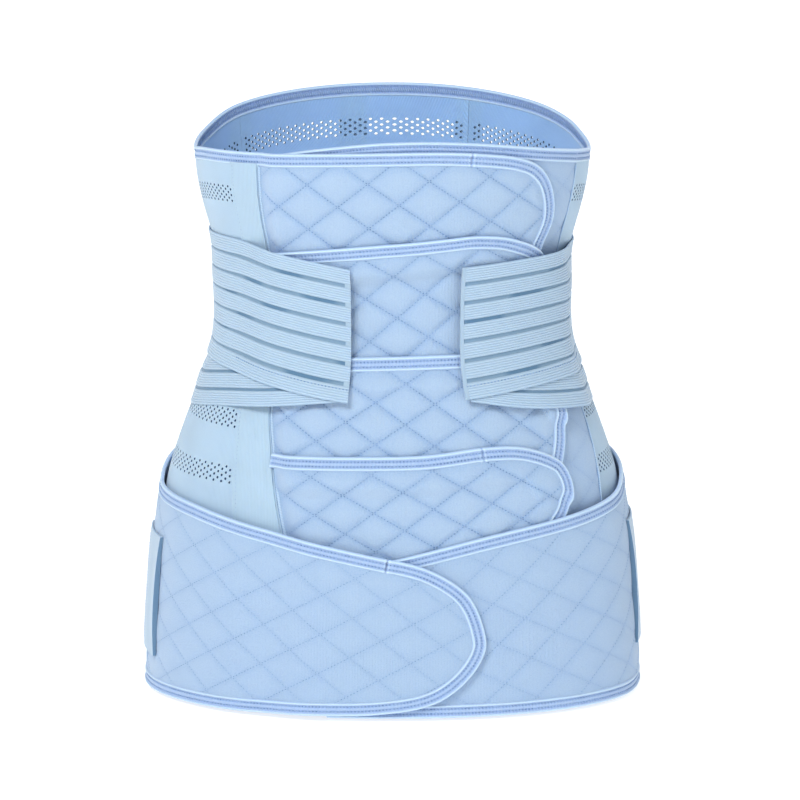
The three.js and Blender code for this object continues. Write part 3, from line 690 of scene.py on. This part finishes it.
quilt_cloth, quilt_shader, mm = cloth_shader("quilted cloth", rough=0.9, sheen=0.3)
wale = (mm.part(0) / 0.95 + mm.noise(0.4) * 0.4).wave()
nap = mm.noise(1.1, 4.0)
# The quilted cloth is painted darker and bluer where the pillow mark is low: painted shade in the quilting
# grooves and beside bound edges.
quilt_tint = mm.mark("pillow") * 0.6 + mm.noise(0.05, 3.0) * 0.3 + wale * 0.14 + nap * 1.2 - 0.59
paint(quilt_shader, quilt_tint.tint(groove_shade_blue, quilt_blue), wale * 0.5 + nap * 1.2, depth=0.3)


def quilt_place(lattice, turn, z):
    """How many steps each way a place is from the quilting's crossing, from the inverse of the steps."""
    steps = np.linalg.inv(np.array([lattice["first"], lattice["second"]]).T)
    s, h = girth_to(turn, z) - lattice["at"][0], z - lattice["at"][1]
    return steps[0, 0] * s + steps[0, 1] * h, steps[1, 0] * s + steps[1, 1] * h


def pillows(lattice, turn, z, groove=2.1):
    """Quilt relief from 0 on a stitch line to 1 in the middle of a diamond: the product of
    1 - exp(-(distance / groove)^2) for the nearest line of each family, and a low broad dome."""
    a, b = quilt_place(lattice, turn, z)
    first, second = np.array(lattice["first"]), np.array(lattice["second"])
    size = abs(np.cross(first, second))
    from_a = np.abs(a - np.round(a)) * size / np.linalg.norm(second)
    from_b = np.abs(b - np.round(b)) * size / np.linalg.norm(first)
    pillow = (1 - np.exp(-((from_a / groove) ** 2))) * (1 - np.exp(-((from_b / groove) ** 2)))
    dome = np.abs(np.sin(np.pi * a) * np.sin(np.pi * b))
    return 0.62 * pillow + 0.38 * dome


def inside(border, turn, z):
    """True where a place lies inside a closed line of turns and heights, by counting crossings."""
    t1, z1 = border
    t2, z2 = np.roll(t1, -1), np.roll(z1, -1)
    spans = (z1 > z[:, None]) != (z2 > z[:, None])
    fall = np.where(z2 == z1, 1e-9, z2 - z1)
    return (spans & (turn[:, None] < (t2 - t1) * (z[:, None] - z1) / fall + t1)).sum(1) % 2 == 1


both_ways = (("first", "second"), ("second", "first"))


def quilt_thread(name, lattice, border, out, reach=22, width=0.5, ways=both_ways, finish=thread):
    """The threads along the families of stitch lines, where they lie inside a border. They stand at
    even steps from each crossing along the line."""
    found = []
    for way, other in ways:
        step, shift = np.array(lattice[way]), np.array(lattice[other])
        count = np.linalg.norm(step) / stitch_pitch
        n = np.arange(-reach * round(count), reach * round(count)) + 0.5
        k = np.arange(-reach, reach + 1)
        place = (np.array(lattice["at"]) + (n / round(count))[:, None, None] * step
                 + k[None, :, None] * shift).reshape(-1, 2)
        place = place[(place[:, 1] > border[1].min()) & (place[:, 1] < border[1].max())]
        turn = turn_at(place[:, 0], place[:, 1])
        kept = inside(border, turn, place[:, 1])
        turn, z = turn[kept], place[kept, 1]
        ahead = 0.4 * step / np.linalg.norm(step)
        found.append((turn, z, ahead[0] / per_degree(turn, z), np.full_like(z, ahead[1])))
    run = joined(found)
    stitches(name, *run, out(run[0], run[1]), "quilted_cloth", long=1.25, thick=width, finish=finish)


def patch(top, right, bottom, left, columns, rows):
    """A grid spanned by four borders: the sum of the two straight blends of opposite borders, less the
    blend of the four corners. Top and bottom run left to right, left and right run downwards."""
    def even(path, count):
        far = length_along(*path)
        at = np.linspace(0, far[-1], count)
        return np.stack([np.interp(at, far, path[0]), np.interp(at, far, path[1])])

    t, b = even(top, columns)[:, None, :], even(bottom, columns)[:, None, :]
    l, r = even(left, rows)[:, :, None], even(right, rows)[:, :, None]
    u, v = np.linspace(0, 1, columns)[None, None, :], np.linspace(0, 1, rows)[None, :, None]
    corners = ((1 - u) * (1 - v) * t[:, :, :1] + u * (1 - v) * t[:, :, -1:]
               + (1 - u) * v * b[:, :, :1] + u * v * b[:, :, -1:])
    grid = (1 - v) * t + v * b + (1 - u) * l + u * r - corners
    border = [np.concatenate([g[0, :-1], g[:-1, -1], g[-1, :0:-1], g[:0:-1, 0]]) for g in grid]
    return grid[0], grid[1], border


def from_border(border, turn, z, near=9.0):
    """0 at a border and 1 from near millimetres inside it, by the distance to its nearest point."""
    g, s = girth_to(border[0], border[1]), girth_to(turn, z)
    far = np.full(turn.shape, 1e9)
    for part in np.array_split(np.arange(len(g)), 12):
        d = np.hypot(s[..., None] - g[part], z[..., None] - border[1][part]).min(-1)
        far = np.minimum(far, d)
    return smooth(far / near)


def ripple(turn, z):
    """Slow swells of hanging cloth, from -1 to 1: the product of two sines across each other."""
    s = girth_to(turn, z)
    return np.sin(s / 13.0 + z / 31.0) * np.sin(z / 17.0 - s / 41.0 + 1.3)


under_path = smooth_edge(UNDER_TOP)
under_line = np.linspace(-32.8, 66.7, 84)
under_top = top_at(inset(under_path, cut_in), under_line)
under_z = blend(under_top[None], wrap_bottom, np.linspace(0, 1, 130)[:, None])
under_turn = wrap_line(np.broadcast_to(under_line, under_z.shape), under_z)
under_relief = pillows(QUILT_1, under_turn, under_z) * smooth((under_top - under_z) / 6)
# The relief also marks the cloth, painting shade into the quilting grooves.
piece = cloth("under_panel", under_turn, under_z, 0.0, under_thick - 0.6 + 0.55 * under_relief, quilt_cloth,
              "quilted_cloth", ["under_panel"], 0.4 + 0.4 * under_relief)
binding("under_panel_binding", under_path, level(0.0), level(under_thick), both=True)
uncovered = (np.array([34, 65.0, 65.0, 69, 67, 60, 50]), np.array([104, 98.0, 20, -60, -100, -150, -150]))
quilt_thread("under_panel_thread", QUILT_1, uncovered, level(under_thick - 0.75), width=0.34,
             finish=pale_thread)

# Flaps: four quilted flaps are sewn into the left seam and close over one another to the right, each
# lower one on top of the one above. A binding runs along the upper edge and round the right end.
pad_thick = 2.2
seam_thick = 1.2
flap_gap = 0.75
bind_ridge = 0.5
flap_tuck = 15.0
flap_inner = under_thick + bind_ridge + 0.55
FLAPS = {
    "flap_1": {"turn": [-38.6, -11, 12, 28.2, 36.5, 43.3, 48.6, 52.9, 53.7, 52.9, 51.4, 49],
               "rise": [0.2953, 0.3036, 0.3057, 0.2974, 0.2882, 0.2729, 0.2455, 0.1964, 0.1712, 0.1472,
                        0.1236, 0.035]},
    "flap_2": {"turn": [-39.4, -14, 14, 23.4, 36.1, 51.4, 56.2, 56.6, 56],
               "rise": [0.1185, 0.1357, 0.1526, 0.1562, 0.1461, 0.1081, 0.0469, -0.03, -0.15]},
    "flap_3": {"turn": [-37.8, -10, 28, 44, 54.3, 55.4, 54.2, 52.4, 50.6, 45],
               "rise": [-0.0625, -0.0534, -0.0526, -0.0716, -0.1224, -0.1563, -0.1825, -0.2067, -0.2258,
                        -0.275]},
    "flap_4": {"turn": [-31.1, -7.3, 6, 22.7, 32.4, 38.7, 43.6, 46.7, 48.5, 49, 48.5, 46.9, 41, 28],
               "rise": [-0.2195, -0.2164, -0.2141, -0.2039, -0.2064, -0.216, -0.2286, -0.2411, -0.2612,
                        -0.2789, -0.3, -0.3255, -0.365, -0.455]},
}
QUILTS = {
    "flap_1": QUILT_1,
    "flap_2": {"at": (0.7, 33.1), "first": (17.99, 15.81), "second": (20.33, -12.57)},
    "flap_3": {"at": (8.6, -37.0), "first": (19.49, 12.54), "second": (19.13, -13.74)},
    "flap_4": {"at": (45.5, -103.8), "first": (18.76, 13.90), "second": (20.06, -11.54)},
}


def flap_low(path, below):
    """A flap's lower edge: a tuck under the next flap's top edge, or the end of its own rounded edge."""
    def low(turn):
        bottom = top_at(below, turn) - flap_tuck if below else np.full_like(turn, wrap_bottom + 4)
        return blend(bottom, np.minimum(bottom, path[1][-1]), ramp(turn - path[0][-1], -12, -7))
    return low


def steep_part(cut):
    """The first and last place on an edge between which it falls more steeply than 45 degrees."""
    steep = -np.diff(cut[1]) > np.abs(np.diff(girth_to(*cut)))
    return int(np.argmax(steep)), len(steep) - int(np.argmax(steep[::-1]))


def thick(turn, z):
    """A flap's thickness: thin in the left seam, and rising evenly to full padding in 4 degrees."""
    return blend(seam_thick, pad_thick, np.clip((turn - seam_left(z) - 0.5) / 4, 0, 1))


SPLICES = {"flap_1": 20.7, "flap_4": 21.7}
puff = {"flap_1": 1.15, "flap_2": 1.5, "flap_3": 1.5, "flap_4": 1.15}
flap_paths = {name: smooth_edge(rows) for name, rows in FLAPS.items()}
names = list(FLAPS)
above = None
for k, name in enumerate(names):
    path = flap_paths[name]
    low = flap_low(path, flap_paths[names[k + 1]] if k < 3 else None)

    def inner(turn, z, above=above):
        """Distance out of the flap's inner side: flat at the seam, then over the panel beneath, and one
        layer higher where it covers the flap above."""
        seat = np.clip((turn - seam_left(z) - 0.8) / 5, 0, 1)
        covered = 0.0 if above is None else ramp(z - above(turn), -14, -3)
        return blend(gap, flap_inner, seat) + covered * (thick(turn, z) + bind_ridge + flap_gap)

    def outer(turn, z):
        """Distance out of the flap's outer side."""
        return inner(turn, z) + thick(turn, z)

    cut = inset(path, cut_in)
    corner = steep_part(cut)[0]
    left_z = np.linspace(cut[1][0], low(np.array([seam_left(cut[1][0])]))[0], 60)
    left = (seam_left(left_z) + 0.2, left_z)
    bottom_turn = np.linspace(left[0][-1], cut[0][-1], 90)
    bottom_z = low(bottom_turn)
    bottom_z = bottom_z + (cut[1][-1] - bottom_z[-1]) * np.linspace(0, 1, 90) ** 8
    bottom_z = bottom_z + (left_z[-1] - bottom_z[0]) * np.linspace(1, 0, 90) ** 8
    top = (cut[0][:corner + 1], cut[1][:corner + 1])
    right = (cut[0][corner:], cut[1][corner:])
    turn, z, border = patch(top, right, (bottom_turn, bottom_z), left, columns=150, rows=66)
    relief = pillows(QUILTS[name], turn, z) * blend(0.25, 1, from_border(border, turn, z))
    swell = 0.25 * ripple(turn, z) - 0.75 + puff[name] * relief
    surface = outer(turn, z) + swell * thick(turn, z) / pad_thick
    # The relief, lower by the border, also marks the cloth, painting shade into the grooves and along the
    # bound edges.
    piece = cloth(name, turn, z, inner(turn, z), surface, quilt_cloth, "quilted_cloth", [name], relief)
    # The binding starts 0.7 degrees left of the flap, in the seam.
    longer = (np.append(path[0][0] - 0.7, path[0]), np.append(2 * path[1][0] - path[1][1], path[1]))
    binding(name + "_binding", longer, inner, outer, splice=SPLICES.get(name))
    on = lambda t, z: outer(t, z) + 0.25 * ripple(t, z) - 0.8
    quilt_thread(name + "_thread", QUILTS[name], border, on)
    above = low

# Waist bands: seven woven elastic strips run round each side to a folded tab in front. Fine ribs run
# along each strip, and the last strip has a row of thread near its upper edge.
elastic_thick = 1.0
elastic_stretch = 1.15
strip_count = 7
slot_share = 0.19
tab_long = {"left": 3.4, "right": 2.2}
ribs = 6
elastic_blue = (0.44, 0.57, 0.70)
# Painted shade for the slots between strips, the webs and the strap's end wall.
slot_shade_blue = (0.10, 0.205, 0.33)
side_inner = tape_inner + tape_thick + 2 * gap
quilt_step = pad_thick + bind_ridge + flap_gap
front_left = (-60, -31)  # turns between which the outer layers rise from the side on to the quilted front
front_right = (85, 63)
hug_high = 34.0
edge_out = 1.9
web_thick = 0.3
web_sunk = 0.05
BAND_LEFT = {
    "turn": [-179.9, -140, -110, -83, -54.5, -35.3, -20.6, -10.7],
    "top": [0.112, 0.1146, 0.1224, 0.1299, 0.1333, 0.1242, 0.1115, 0.101],
    "bottom": [-0.1042, -0.1003, -0.0938, -0.0896, -0.0954, -0.1061, -0.1187, -0.1266],
}
BAND_RIGHT = {
    "turn": [18.7, 36.9, 53.7, 72, 110, 179.9],
    "top": [0.1029, 0.1096, 0.1128, 0.1132, 0.1094, 0.112],
    "bottom": [-0.1229, -0.1128, -0.1068, -0.1051, -0.1068, -0.1042],
}

elastic_cloth, elastic_shader, mm = cloth_shader("woven elastic", rough=0.7, sheen=0.3)
fuzz = mm.noise(1.5, 3.0)
# The elastic runs from the painted slot shade where the pillow mark is 0 to its own blue where it is 1.
elastic_tint = mm.mark("pillow") * 0.97 + fuzz * 0.1 + mm.noise(0.06) * 0.08 - 0.08
paint(elastic_shader, elastic_tint.tint(slot_shade_blue, elastic_blue), fuzz, depth=0.06)


def on_front(turn):
    """How far the outer layers have risen from the sides on to the quilted front, 0 to 1."""
    return np.where(turn < 0, ramp(turn, *front_left), ramp(turn, *front_right))


def lower_inner(turn):
    """Distance out of the lower strips' inner side: over the channels, then over two flaps."""
    return blend(side_inner, flap_inner + 2 * quilt_step, on_front(turn))


def band_inner(turn):
    """Distance out of the waist bands' inner side, over the lower strips."""
    return lower_inner(turn) + elastic_thick + 2 * gap


def hug(turn, z, top):
    """How far a band's upper edge leans in at the sides, down to the knit, and nothing 34 mm lower."""
    beside = np.where(turn < 0, 1 - on_front(turn), ramp(turn, 50, 82))
    reach = (band_inner(turn) - edge_out) * beside * (1 - ramp(np.abs(turn), 112, 122))
    return reach * ramp(z - top, -hug_high, 0)


def strip(name, turns, top, bottom, inner, replaces, lean):
    """One elastic strip: its section is ribs, |cos| of the share across it, rounded at both edges, and it
    is carried round the binder between two curves of the turn."""
    across = np.linspace(0.035, 0.965, 4 * ribs + 1)
    share = np.concatenate([[0, 0.004, 0.015], across, [0.985, 0.996, 1]])[:, None]
    turn = np.broadcast_to(turns, (len(share), len(turns)))
    z = blend(top[None], bottom[None], share)
    edge = np.sqrt(np.clip(1 - (np.abs(share * 2 - 1) ** 24), 0, 1))
    crest = np.abs(np.cos(np.pi * ribs * (share - 0.035) / 0.93 + np.pi / 2)) ** 0.7
    middle = inner(turn) - lean(turn, z) + elastic_thick / 2
    low, high = -elastic_thick / 2, elastic_thick / 2 - 0.16 + 0.42 * crest
    # The pillow mark paints the rib crests lighter, as highlight, and the grooves between ribs and the
    # rounded edges darker, as shade.
    piece = cloth(name, turn, z, middle + low * edge, middle + high * edge, elastic_cloth,
                  "striped_elastic", replaces, 0.7 + 0.3 * crest * edge)
    lay(turn, z, elastic_stretch)


def strip_turns(rows, step=2.7):
    """Even turns from the first to the last row of a strip's table."""
    first, last = rows["turn"][0], rows["turn"][-1]
    return np.linspace(first, last, int(abs(last - first) / step) + 1)


def web(name, turn, z, low, pillow):
    """The thin sunk cloth that joins the strips of a band, as a sheet between two distances out. Its colour
    is mostly painted shade.
    """
    low = low + web_sunk
    piece = cloth(name, turn, z, low, low + web_thick, elastic_cloth, "striped_elastic", pillow=pillow)
    lay(turn, z, elastic_stretch)


for side, rows in (("left", BAND_LEFT), ("right", BAND_RIGHT)):
    tab = rows["turn"][-1] if side == "left" else rows["turn"][0]
    back = rows["turn"][0] if side == "left" else rows["turn"][-1]
    turns = strip_turns(rows)
    top = along(rows, "turn", "top", turns) * height
    bottom = along(rows, "turn", "bottom", turns) * height
    lean = lambda t, z, turns=turns, top=top: hug(t, z, np.interp(t, turns, top))
    # The slots are narrower beside the body than in front, by as much on both of their strips.
    whole = strip_count - slot_share
    half_less = slot_share * 0.55 * ramp(np.abs(turns), 45, 75) / 2
    for n in range(strip_count):
        upper = (n - half_less * (n > 0)) / whole
        lower = (n + 1 - slot_share + half_less * (n < strip_count - 1)) / whole
        strip(f"waist_band_{side}_strip_{n + 1}", turns, blend(top, bottom, upper),
              blend(top, bottom, lower), band_inner, ["waist_band_" + side] if n == 0 else (),
              lean)
    run = row_of(turns, blend(top, bottom, (strip_count - 1 + 0.16) / whole))
    seen = on_front(run[0]) > 0.02
    run = [p[seen] for p in run]
    out = band_inner(run[0]) + elastic_thick + 0.05
    stitches(f"waist_band_{side}_thread", *run, out, "striped_elastic")
    for place, label in ((tab, "tab"), (back, "back_bar")):
        way = -1 if (place == tab) == (side == "left") else 1
        wide = tab_long[side if label == "tab" else "left"] / per_degree(place, 0.0)
        t = np.sort(np.linspace(place, place + way * wide, 14))
        shut = np.linspace(0.004, 0.996, 60)[:, None]
        z = blend(along(rows, "turn", "top", t) * height, along(rows, "turn", "bottom", t) * height, shut)
        turn = np.broadcast_to(t, z.shape)
        low = band_inner(turn) - lean(turn, z) + 0.1
        high = low + (1.15 if label == "tab" and side == "right" else 0.6)
        cloth(f"waist_band_{side}_{label}", turn, z, low, high, elastic_cloth, "striped_elastic",
              pillow=0.8)
    # The web's colour is painted shade: darkest next to the strip above it, as that strip's shadow, and in
    # scattered patches, as shade in openings in the web.
    share = np.concatenate([(n + 1 - slot_share * np.linspace(1.25, -0.25, 5)) / whole
                            for n in range(strip_count - 1)])[:, None]
    depth = np.tile(np.linspace(0, 1, 5), strip_count - 1)[:, None]
    z = blend(top[None], bottom[None], share)
    turn = np.broadcast_to(turns, z.shape)
    opening_shade = np.sin(turn / 7.0 + np.round(share * 7) * 2.4) * np.sin(turn / 17.0 + np.round(share * 7))
    pillow = np.clip(0.1 + 0.36 * depth - 0.4 * smooth((opening_shade - 0.3) * 3), 0, 1)
    web(f"waist_band_{side}_web", turn, z, band_inner(turn) - lean(turn, z), pillow)

# Lower strips: the same elastic strips of a second band come out from under the tabs and run a little
# lower round each side, so that the two bands cross at the tabs.
lower_pitch = 11.6
lower_slot = 1.7
lower_count = 3
lower_lean = 2.2
lower_lean_high = 22.0
LOWER = {
    "left": {"turn": [-179.9, -110, -88.8, -64, -43, -12.5],
             "bottom": [-0.1823, -0.1823, -0.1781, -0.1602, -0.1461, -0.1255]},
    "right": {"turn": [20.5, 38, 63, 88, 110, 179.9],
              "bottom": [-0.127, -0.1448, -0.1591, -0.1719, -0.1786, -0.1823]},
}
for side, rows in LOWER.items():
    turns = strip_turns(rows)
    bottom = along(rows, "turn", "bottom", turns) * height

    def lean(turn, z, bottom=bottom):
        """How far the lower edge leans in beside the body, and nothing 22 mm higher."""
        return lower_lean * ramp(bottom - z, -lower_lean_high, 0) * (1 - on_front(turn))

    for n in range(lower_count):
        high = bottom + (lower_count - n) * lower_pitch - lower_slot
        low = bottom + (lower_count - n - 1) * lower_pitch
        strip(f"lower_strips_{side}_{n + 1}", turns, high, low, lower_inner,
              ["lower_strips_" + side] if n == 0 else (), lean)
    # The lower web is marked dark all over, as painted shade in the slots.
    z = blend(bottom + lower_count * lower_pitch - 4, bottom + 3,
              np.linspace(0, 1, 5 * lower_count)[:, None])
    turn = np.broadcast_to(turns, z.shape)
    web(f"lower_strips_{side}_web", turn, z, lower_inner(turn) - lean(turn, z), 0.15)

# Pelvic belt: two quilted halves and a quilted back. The left half has a large rounded end and lies over
# the right half, and bindings edge the belt above and below.
overlap_end = -13.0
hem = -0.6682 * height
BELT_LEFT = {
    "turn": [-85.5, -54.7, -26.2, -2.6, 7, 15.3, 19, 19, 15, 8, -1, -16, -46, -85.5],
    "rise": [-0.3115, -0.3229, -0.3492, -0.3841, -0.4065, -0.4516, -0.5177, -0.5518, -0.6005, -0.6406,
             -0.658, -0.6635, -0.6675, -0.6682],
}
BELT_RIGHT = {"turn": [-13, 12.3, 26.2, 58.8, 79, 85.5],
              "rise": [-0.418, -0.3672, -0.3479, -0.3221, -0.306, -0.298]}
BELT_BACK = {"turn": [85.55, 105, 125, 180, 235, 255, 274.45],
             "rise": [-0.2976, -0.276, -0.264, -0.2552, -0.2656, -0.281, -0.311]}
QUILT_LEFT = {"at": (-119.3, -165.4), "first": (20.02, 11.40), "second": (18.09, -15.17)}
QUILT_RIGHT = {"at": (64.3, -181.1), "first": (21.35, -10.89), "second": (17.27, 15.96)}


def belt_inner(turn):
    """Distance out of the belt's inner side: over the channels, then over the flaps."""
    facing = (turn + 180) % 360 - 180
    return blend(side_inner, flap_inner + quilt_step, on_front(facing))


def lap_inner(turn):
    """The same for the left half, which rises over the right half."""
    return belt_inner(turn) + quilt_step * ramp(turn - overlap_end, -17, -2)


def over(inner, by=0.0):
    """A distance above one that depends on the turn alone, as a function of the turn and the height."""
    return lambda turn, z: inner(turn) + by


def quilted_belt(name, grid, lattice, inner, replaces):
    """A belt piece on a grid, its outer side raised by flatter pillows than the flaps have."""
    turn, z, border = grid
    relief = pillows(lattice, turn, z, groove=1.8) * blend(0.3, 1, from_border(border, turn, z))
    surface = inner(turn) + pad_thick - 0.4 + 0.3 * ripple(turn, z) + 0.45 * relief
    # The relief, lower by the border, also marks the cloth, painting shade into the grooves and along the
    # bound edges.
    piece = cloth(name, turn, z, inner(turn), surface, quilt_cloth, "quilted_cloth", replaces,
                  0.32 + 0.5 * relief)
    on = lambda t, z: inner(t) + pad_thick + 0.3 * ripple(t, z) - 0.5
    plain, faint = both_ways if lattice is QUILT_LEFT else both_ways[::-1]
    quilt_thread(name + "_thread", lattice, border, on, reach=30, width=0.4, ways=(plain,))
    quilt_thread(name + "_faint_thread", lattice, border, on, reach=30, width=0.34, ways=(faint,),
                 finish=pale_thread)


left_path = smooth_edge(BELT_LEFT)
left_cut = inset(left_path, cut_in)
first, last = steep_part(left_cut)
upper = tuple(c[:first + 1] for c in left_cut)
tip = tuple(c[first:last + 1] for c in left_cut)
lower = tuple(c[last:][::-1] for c in left_cut)
left_edge = tuple(np.linspace(a[0], b[0], 40) for a, b in zip(upper, lower))
quilted_belt("belt_left", patch(upper, tip, lower, left_edge, columns=178, rows=66), QUILT_LEFT,
             lap_inner, ["belt_left"])
binding("belt_left_binding", left_path, over(lap_inner), over(lap_inner, pad_thick),
        splice=-0.7)
for name, rows, lattice, columns in (("belt_right", BELT_RIGHT, QUILT_RIGHT, 150),
                                     ("belt_back", BELT_BACK, QUILT_LEFT, 240)):
    path = smooth_edge(rows)
    cut = inset(path, cut_in)
    turns = np.linspace(rows["turn"][0], rows["turn"][-1], 120)
    hem_path = (turns[::-1], np.full(120, hem))
    base = (turns, np.full(120, hem + cut_in))
    ends = [(np.full(40, t), np.linspace(top_at(cut, t), base[1][0], 40)) for t in turns[[0, -1]]]
    grid = patch(cut, ends[1], base, ends[0], columns, rows=64)
    quilted_belt(name, grid, lattice, belt_inner, [name])
    for label, edge in (("top", path), ("hem", hem_path)):
        binding(f"{name}_{label}_binding", edge, over(belt_inner), over(belt_inner, pad_thick))

# Side straps: a short strap of elastic is sewn to each side of the belt. Its front end is folded over
# and bound, so it stands out from the belt, and its end wall is painted dark blue as the shade in the gap
# beside it.
strap_long = 44.0
strap_lift = 2.2
strap_ribs = 48
strap_columns = 25
strap_stretch = 1.1
strap_inner = side_inner + pad_thick + gap
STRAPS = {"side_strap_left": (-71.5, -0.3955, 80.3, -1), "side_strap_right": (77.5, -0.3725, 83.0, 1)}
for name, (end, rise, strap_high, side) in STRAPS.items():
    top = rise * height
    share = np.linspace(0, 1, 4 * strap_ribs + 1)[:, None]
    long_share = np.append(0, 0.004 + 0.996 * np.linspace(0, 1, strap_columns - 1) ** 1.3)
    turns = end + side * long_share * strap_long / per_degree(end, top)
    turn = np.broadcast_to(np.sort(turns), (len(share), strap_columns))
    z = top - strap_high * share
    near = 1 - smooth(np.abs(turn - end) / 7)
    high = strap_inner + strap_lift * near * np.sin(np.pi * (0.1 + 0.8 * share)) + 1.0
    bound = smooth((3.2 - np.abs(turn - end) * per_degree(end, top)) / 0.8)
    crest = np.abs(np.sin(np.pi * strap_ribs * share)) ** 0.7
    # Painted tone: dark blue on the end wall as shade in the gap, lighter on the rib crests and the bound
    # end as highlight.
    tone = np.where(turn == end, 0.14, 0.74 + 0.26 * np.maximum(crest, bound))
    piece = cloth(name, turn, z, strap_inner, high + 0.2 * crest * (1 - bound) + 0.5 * bound,
                  elastic_cloth, "striped_elastic", [name], tone)
    lay(turn, z, strap_stretch)
    sewn = [end + side * (strap_long - inward) / per_degree(end, top) for inward in (2.5, 12)]
    rows = [row_of(np.full(30, t), top - np.linspace(3, strap_high - 3, 30)) for t in sewn]
    stitches(name + "_thread", *joined(rows), strap_inner + 1.1, "striped_elastic")

# The binder stands over a plain pale floor, in soft studio light from large lamps and a bright sky.
floor_low = hem - 2.0
floor_shape = bpy.data.meshes.new("floor")
corners = ((-40.0, -40.0), (40.0, -40.0), (40.0, 40.0), (-40.0, 40.0))
floor_shape.from_pydata([(x, y, floor_low / 1000) for x, y in corners], [], [(0, 1, 2, 3)])
floor = bpy.data.objects.new("floor", floor_shape)
floor_shape.materials.append(new_shader("pale floor", {
    "Base Color": (0.6, 0.6, 0.6, 1), "Roughness": 1.0, "Emission Color": (1, 1, 1, 1),
    "Emission Strength": 0.7})[0])
bpy.context.scene.collection.objects.link(floor)
sky = bpy.data.worlds.new("studio")
sky.use_nodes = True
sky.node_tree.nodes["Background"].inputs["Color"].default_value = (0.84, 0.92, 1, 1)
sky.node_tree.nodes["Background"].inputs["Strength"].default_value = 0.46
bpy.context.scene.world = sky
bpy.context.scene.view_settings.view_transform = "Standard"
LAMPS = {"key": ((-1.2, -2.3, 2.4), 1.2, 80.0), "fill": ((2.2, -2.0, 0.7), 2.0, 14.0),
         "back": ((0.6, 2.6, 2.2), 2.4, 34.0)}
for name, (place, size, power) in LAMPS.items():
    light = bpy.data.lights.new(name, "AREA")
    light.size = size
    light.energy = power
    lamp = bpy.data.objects.new(name, light)
    lamp.location = place
    lamp.rotation_euler = (-Vector(place)).to_track_quat("-Z", "Y").to_euler()
    bpy.context.scene.collection.objects.link(lamp)
